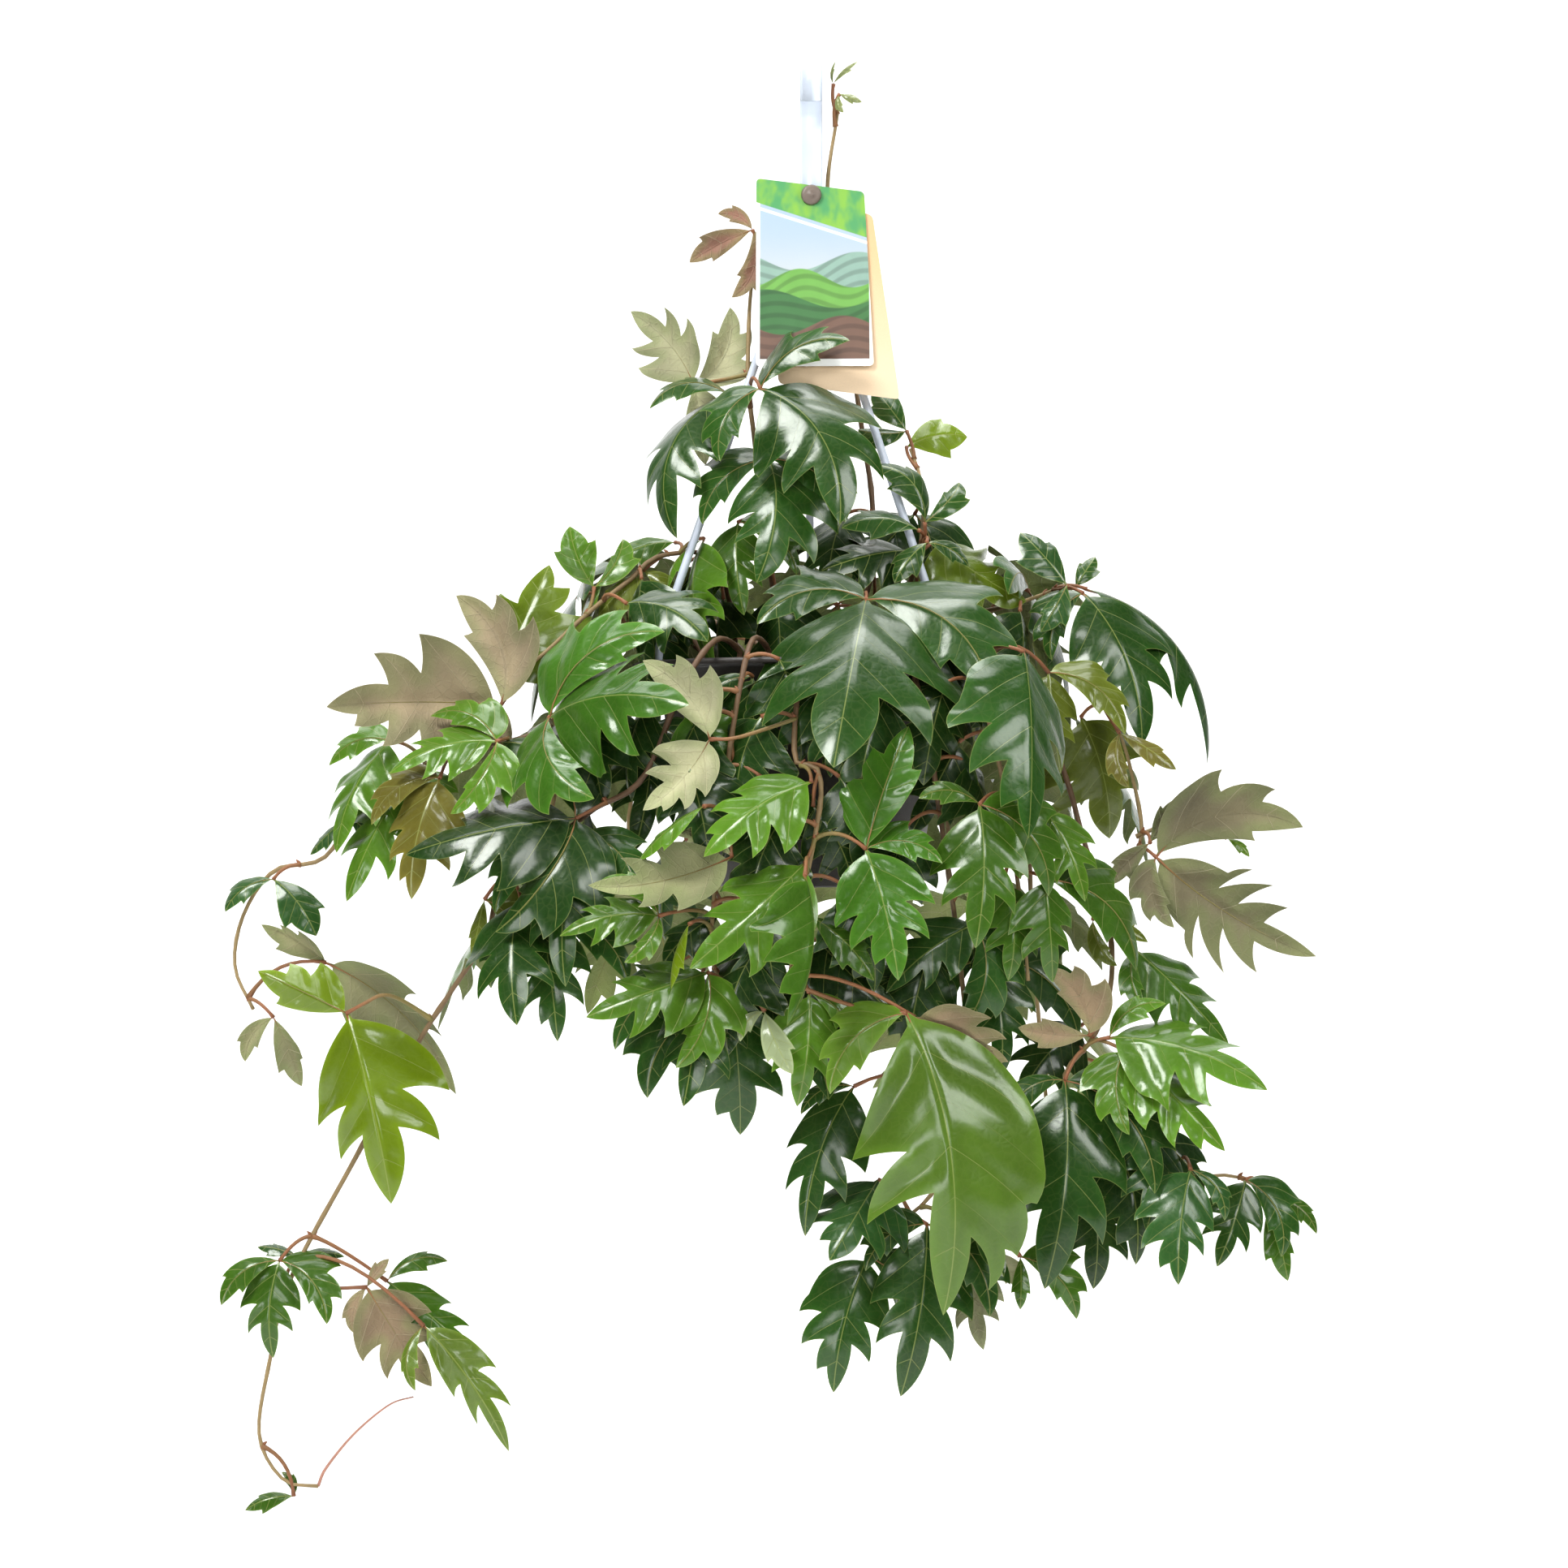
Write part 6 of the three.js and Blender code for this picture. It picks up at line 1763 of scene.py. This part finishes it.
def make_hanger():
    """The strap with its loop and hub, and the three rods with their knobs."""
    material = plastic_material("hanger_plastic", holder_tone("hanger"), 0.3, 0.1, coat=0.2)
    build = Build()
    add_strap(build)
    hub = [
        (0, HUB_BOTTOM_Z), (HUB_RADIUS - 1, HUB_BOTTOM_Z), (HUB_RADIUS, HUB_BOTTOM_Z + 1),
        (HUB_RADIUS, HUB_TOP_Z - 2), (HUB_RADIUS - 1.6, HUB_TOP_Z - 0.4),
        (HUB_RADIUS - 2.6, HUB_TOP_Z), (0, HUB_TOP_Z),
    ]
    lathe(build, hub, 40)
    build.piece("strap_hook", "hanger_hook", [material])
    for name, angle in ROD_ANGLES.items():
        make_rod(name, angle, material)


def make_rod(name, angle, material):
    """A rod: down and out from the hub, bent upright through the rim, with a knob below."""
    start = around(angle, HUB_BOTTOM_Z + 0.5, ROD_START_RADIUS)
    bend = around(angle, RIM_Z + 10, ROD_FOOT_RADIUS)
    foot = around(angle, RIM_Z - RIM_THICKNESS - 8, ROD_FOOT_RADIUS)
    build = Build()
    line = rounded([start, (start + bend) / 2, bend, foot], 8)
    tube(build, line, ROD_RADIUS, 0, sides=20)
    knob_top = RIM_Z - RIM_THICKNESS - 0.4
    knob = [(0, knob_top - 3.6), (ROD_KNOB_RADIUS - 0.8, knob_top - 3.5), (ROD_KNOB_RADIUS, knob_top - 2.6),
            (ROD_KNOB_RADIUS, knob_top - 0.7), (ROD_KNOB_RADIUS - 0.7, knob_top), (0, knob_top)]
    lathe(build, knob, 28, centre=foot[:2])
    build.piece(f"{name}_round", name, [material])


def card_outline(corners):
    """The outline of a card with rounded corners, seen from in front."""
    points = [np.array(c, float) for c in corners]
    made = []
    for k, corner in enumerate(points):
        made += corner_arc(points[k - 1], corner, points[(k + 1) % len(points)], CARD_CORNER, 7)
    return np.array(made)


def make_card(name, node, corners, front, material, curl):
    """A thin card that leans forward over the hub, with rounded corners and a slight curl."""
    outline = card_outline(corners)
    low, high = outline.min(axis=0), outline.max(axis=0)
    xs, zs = np.meshgrid(np.arange(low[0] + 2, high[0], 4.0), np.arange(low[1] + 2, high[1], 4.0))
    grid = np.stack([xs.ravel(), zs.ravel()], axis=1)
    flat, triangles = filled(outline, well_inside(grid, outline, 1.5))
    rim, count = len(outline), len(flat)
    shares = (flat - low) / (high - low)
    y = -front + CARD_LEAN * (flat[:, 1] - CARD_TOP_Z)
    y = y - curl * (1 - shares[:, 1]) ** 2 * (shares[:, 0] - 0.35)
    face = np.stack([flat[:, 0], y, flat[:, 1]], axis=1)
    back = face + (0, CARD_THICKNESS * 0.8, 0)
    rim_faces = []
    turning = (np.roll(outline, -1, axis=0) - outline)[:, 1] @ outline[:, 0]
    for i in range(rim):
        j = (i + 1) % rim
        rim_faces += [(i, i + count, j), (j, i + count, j + count)]
    if turning < 0:
        rim_faces = [(a, c, b) for a, b, c in rim_faces]
    everything = np.vstack([triangles, triangles[:, ::-1] + count, rim_faces])
    blade = np.column_stack([shares, np.zeros(count)])
    build = Build()
    build.add(np.vstack([face, back]), everything, 0, blade=np.vstack([blade, blade]))
    build.crisp_ring(0, rim)
    build.crisp_ring(count, rim)
    build.piece(name, node, [material])


def make_cards():
    """The two cards on the strap and the button that holds them."""
    back_front = STRAP_THICKNESS / 2 + CARD_GAP + CARD_THICKNESS
    front_front = back_front + CARD_GAP + CARD_THICKNESS
    behind, in_front = back_card_material(), front_card_material()
    make_card("card_behind", "tag_back", BACK_CARD, back_front, behind, 0.0)
    make_card("card_in_front", "tag_front", FRONT_CARD, front_front, in_front, CARD_CURL)
    face = -(front_front + CARD_GAP) + CARD_LEAN * (BUTTON_Z - BUTTON_RADIUS - CARD_TOP_Z)
    back = STRAP_THICKNESS / 2 + CARD_GAP
    profile = [
        (0, face - 1.5), (1.2, face - 1.5), (1.5, face - 1.1), (3.2, face - 1.2), (4.4, face - 0.9),
        (BUTTON_RADIUS, face - 0.2), (BUTTON_RADIUS - 0.3, face), (2.0, face), (2.0, back),
        (3.6, back), (4.0, back + 0.5), (3.4, back + 1.5), (0, back + 1.5),
    ]
    build = Build()
    lathe(build, profile, 36, centre=(BUTTON_X, BUTTON_Z), axis="Y")
    material = plastic_material("button_plastic", holder_tone("button"), 0.45, 0.2)
    build.piece("button_peg", "tag_button", [material])


def make_leafy_stems():
    """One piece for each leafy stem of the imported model."""
    patterns = {}
    for name, (left, right) in PATTERN_HALVES.items():
        for step, spacing in MESH_STEPS.items():
            patterns[name, step] = Pattern(left, right, spacing)
    materials = [leaf_upper_material(), leaf_under_material(), stalk_material()]
    for index, stem in enumerate(STEMS):
        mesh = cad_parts[stem.name].data
        model = kdtree.KDTree(len(mesh.vertices))
        for vertex in mesh.vertices:
            model.insert(vertex.co, vertex.index)
        model.balance()
        draw = seeded_draws(FOLIAGE_SEED + index * FOLIAGE_SEED_STEP)
        build = Build()
        add_stem(build, stem)
        places = petiole_places(stem)
        leaves = [(leaf, *leaflets_in_model(leaf, stem, model)) for leaf in stem.leaves]
        leaves += [(leaf, leaflets_of(leaf, around, 0, 0, leaf.at[0]), 1.0) for leaf in inner_leaves(places)]
        for leaf, leaflets, bow in leaves:
            dress_leaf(build, leaf, leaflets, bow, stem, places, patterns, draw)
        build.piece(f"{stem.name}_foliage", stem.name, materials)


# The stage


# Each lamp's name, place, target, width, height and power in watts
LAMPS = (
    ("key", (-0.9, -1.0, 1.0), (0.0, 0.0, -0.4), 0.6, 0.5, 31.0),
    ("upper_front", (0.15, -1.0, 0.35), (0.0, 0.0, -0.6), 0.3, 0.2, 3.0),
    ("side", (1.3, -0.9, 0.5), (0.0, 0.0, -0.4), 0.4, 0.8, 12.0),
    ("front", (0.3, -1.8, 0.0), (0.0, 0.0, -0.55), 0.5, 0.35, 5.0),
    ("low", (-1.2, -1.1, -0.4), (0.0, 0.0, -0.5), 0.2, 0.6, 4.0),
    ("top", (0.1, 0.0, 1.2), (0.0, 0.0, -0.3), 0.9, 0.7, 12.0),
    ("wall", (0.0, 0.6, 2.2), (0.0, 1.6, 0.2), 3.0, 0.8, 48.0),
    ("low_wall", (0.0, 0.7, -0.78), (0.0, 1.6, 0.0), 3.0, 0.5, 16.0),
)
WORLD_TINT = (0.95, 0.97, 1.0, 1.0)
WORLD_STRENGTH = 0.04
# The backdrop, in metres: its floor, its wall, and the radius of the bend between them
FLOOR_Z = -0.80
WALL_Y = 1.6
WALL_TOP_Z = 2.6
FLOOR_FRONT_Y = -3.0
STAGE_HALF_WIDTH = 3.5
FLOOR_BEND = 0.5


def make_camera():
    """The camera stands where the photograph's eye does."""
    camera = bpy.data.cameras.new("eye")
    camera.sensor_width = SENSOR
    camera.lens = SENSOR / 2 * -EYE[1] / VIEW_HALF_WIDTH
    camera.clip_end = 20.0
    made = bpy.data.objects.new("eye", camera)
    made.location = EYE * MM
    made.rotation_euler = (math.pi / 2, 0.0, 0.0)
    bpy.context.scene.collection.objects.link(made)
    bpy.context.scene.camera = made


def add_softbox(name, place, target, width, height, power):
    """A soft rectangular lamp that looks at a target."""
    lamp = bpy.data.lights.new(name, "AREA")
    lamp.shape = "RECTANGLE"
    lamp.size = width
    lamp.size_y = height
    lamp.energy = power
    made = bpy.data.objects.new(name, lamp)
    made.location = place
    made.rotation_euler = (Vector(target) - Vector(place)).to_track_quat("-Z", "Y").to_euler()
    bpy.context.scene.collection.objects.link(made)


def make_backdrop():
    """A white floor that curves up into a white wall behind."""
    bend_y, bend_z = WALL_Y - FLOOR_BEND, FLOOR_Z + FLOOR_BEND
    profile = [(FLOOR_FRONT_Y, FLOOR_Z), (bend_y, FLOOR_Z)]
    profile += [(bend_y + FLOOR_BEND * math.sin(a), bend_z - FLOOR_BEND * math.cos(a))
                for a in np.linspace(0, math.pi / 2, 13)[1:]]
    profile.append((WALL_Y, WALL_TOP_Z))
    points = [(x, y, z) for y, z in profile for x in (-STAGE_HALF_WIDTH, STAGE_HALF_WIDTH)]
    faces = [(2 * k, 2 * k + 1, 2 * k + 3, 2 * k + 2) for k in range(len(profile) - 1)]
    mesh = bpy.data.meshes.new("backdrop")
    mesh.from_pydata(points, [], faces)
    mesh.shade_smooth()
    shader = Shader("backdrop_white")
    patches = shader.noise(shader.place(), 1.5, 2.0)
    tint = shader.tinted(STAGE_WHITE, 0.99 + patches * 0.02)
    mesh.materials.append(shader.finish(Base_Color=tint, Roughness=0.9))
    made = bpy.data.objects.new("backdrop", mesh)
    bpy.context.scene.collection.objects.link(made)


def make_lights():
    """Large soft lamps above and in front, and a white world all round."""
    for lamp in LAMPS:
        add_softbox(*lamp)
    world = bpy.data.worlds.new("white_studio")
    world.use_nodes = True
    tint, strength = world.node_tree.nodes["Background"].inputs[:2]
    tint.default_value = WORLD_TINT
    strength.default_value = WORLD_STRENGTH
    bpy.context.scene.world = world
    bpy.context.scene.view_settings.view_transform = "Standard"


# Operators, the panel and the run


class IVY_OT_leafy_stems(bpy.types.Operator):
    """Builds every leafy stem with its leaves"""

    bl_idname = "ivy.leafy_stems"
    bl_label = "Leafy stems"

    def execute(self, context):
        make_leafy_stems()
        return {"FINISHED"}


class IVY_OT_pot(bpy.types.Operator):
    """Builds the pot"""

    bl_idname = "ivy.pot"
    bl_label = "Pot"

    def execute(self, context):
        make_pot()
        return {"FINISHED"}


class IVY_OT_soil(bpy.types.Operator):
    """Builds the soil with its crumbs"""

    bl_idname = "ivy.soil"
    bl_label = "Soil"

    def execute(self, context):
        make_soil()
        return {"FINISHED"}


class IVY_OT_hanger(bpy.types.Operator):
    """Builds the strap hook and the rods"""

    bl_idname = "ivy.hanger"
    bl_label = "Hanger"

    def execute(self, context):
        make_hanger()
        return {"FINISHED"}


class IVY_OT_cards(bpy.types.Operator):
    """Builds the two cards and their button"""

    bl_idname = "ivy.cards"
    bl_label = "Cards"

    def execute(self, context):
        make_cards()
        return {"FINISHED"}


class IVY_OT_stage(bpy.types.Operator):
    """Builds the camera, the backdrop and the lights"""

    bl_idname = "ivy.stage"
    bl_label = "Stage"

    def execute(self, context):
        make_camera()
        make_backdrop()
        make_lights()
        return {"FINISHED"}


OPERATORS = (IVY_OT_stage, IVY_OT_leafy_stems, IVY_OT_pot, IVY_OT_soil, IVY_OT_hanger, IVY_OT_cards)


class IVY_PT_panel(bpy.types.Panel):
    """Lists the pieces and their sizes and colours"""

    bl_label = "Ivy"
    bl_space_type = "VIEW_3D"
    bl_region_type = "UI"
    bl_category = "Ivy"

    def draw(self, context):
        for operator in OPERATORS:
            self.layout.operator(operator.bl_idname)
        for group in GROUPS:
            box = self.layout.box()
            values = getattr(context.scene, group)
            for name in values.bl_rna.properties.keys():
                if name not in ("rna_type", "name"):
                    box.prop(values, name)


CLASSES = (*GROUPS.values(), *OPERATORS, IVY_PT_panel)


def register():
    for cls in CLASSES:
        bpy.utils.register_class(cls)
    for name, group in GROUPS.items():
        setattr(bpy.types.Scene, name, bpy.props.PointerProperty(type=group))


def unregister():
    for name in GROUPS:
        delattr(bpy.types.Scene, name)
    for cls in reversed(CLASSES):
        bpy.utils.unregister_class(cls)


def main():
    register()
    bpy.ops.ivy.stage()
    bpy.ops.ivy.leafy_stems()
    bpy.ops.ivy.pot()
    bpy.ops.ivy.soil()
    bpy.ops.ivy.hanger()
    bpy.ops.ivy.cards()


if __name__ == "__main__":
    main()
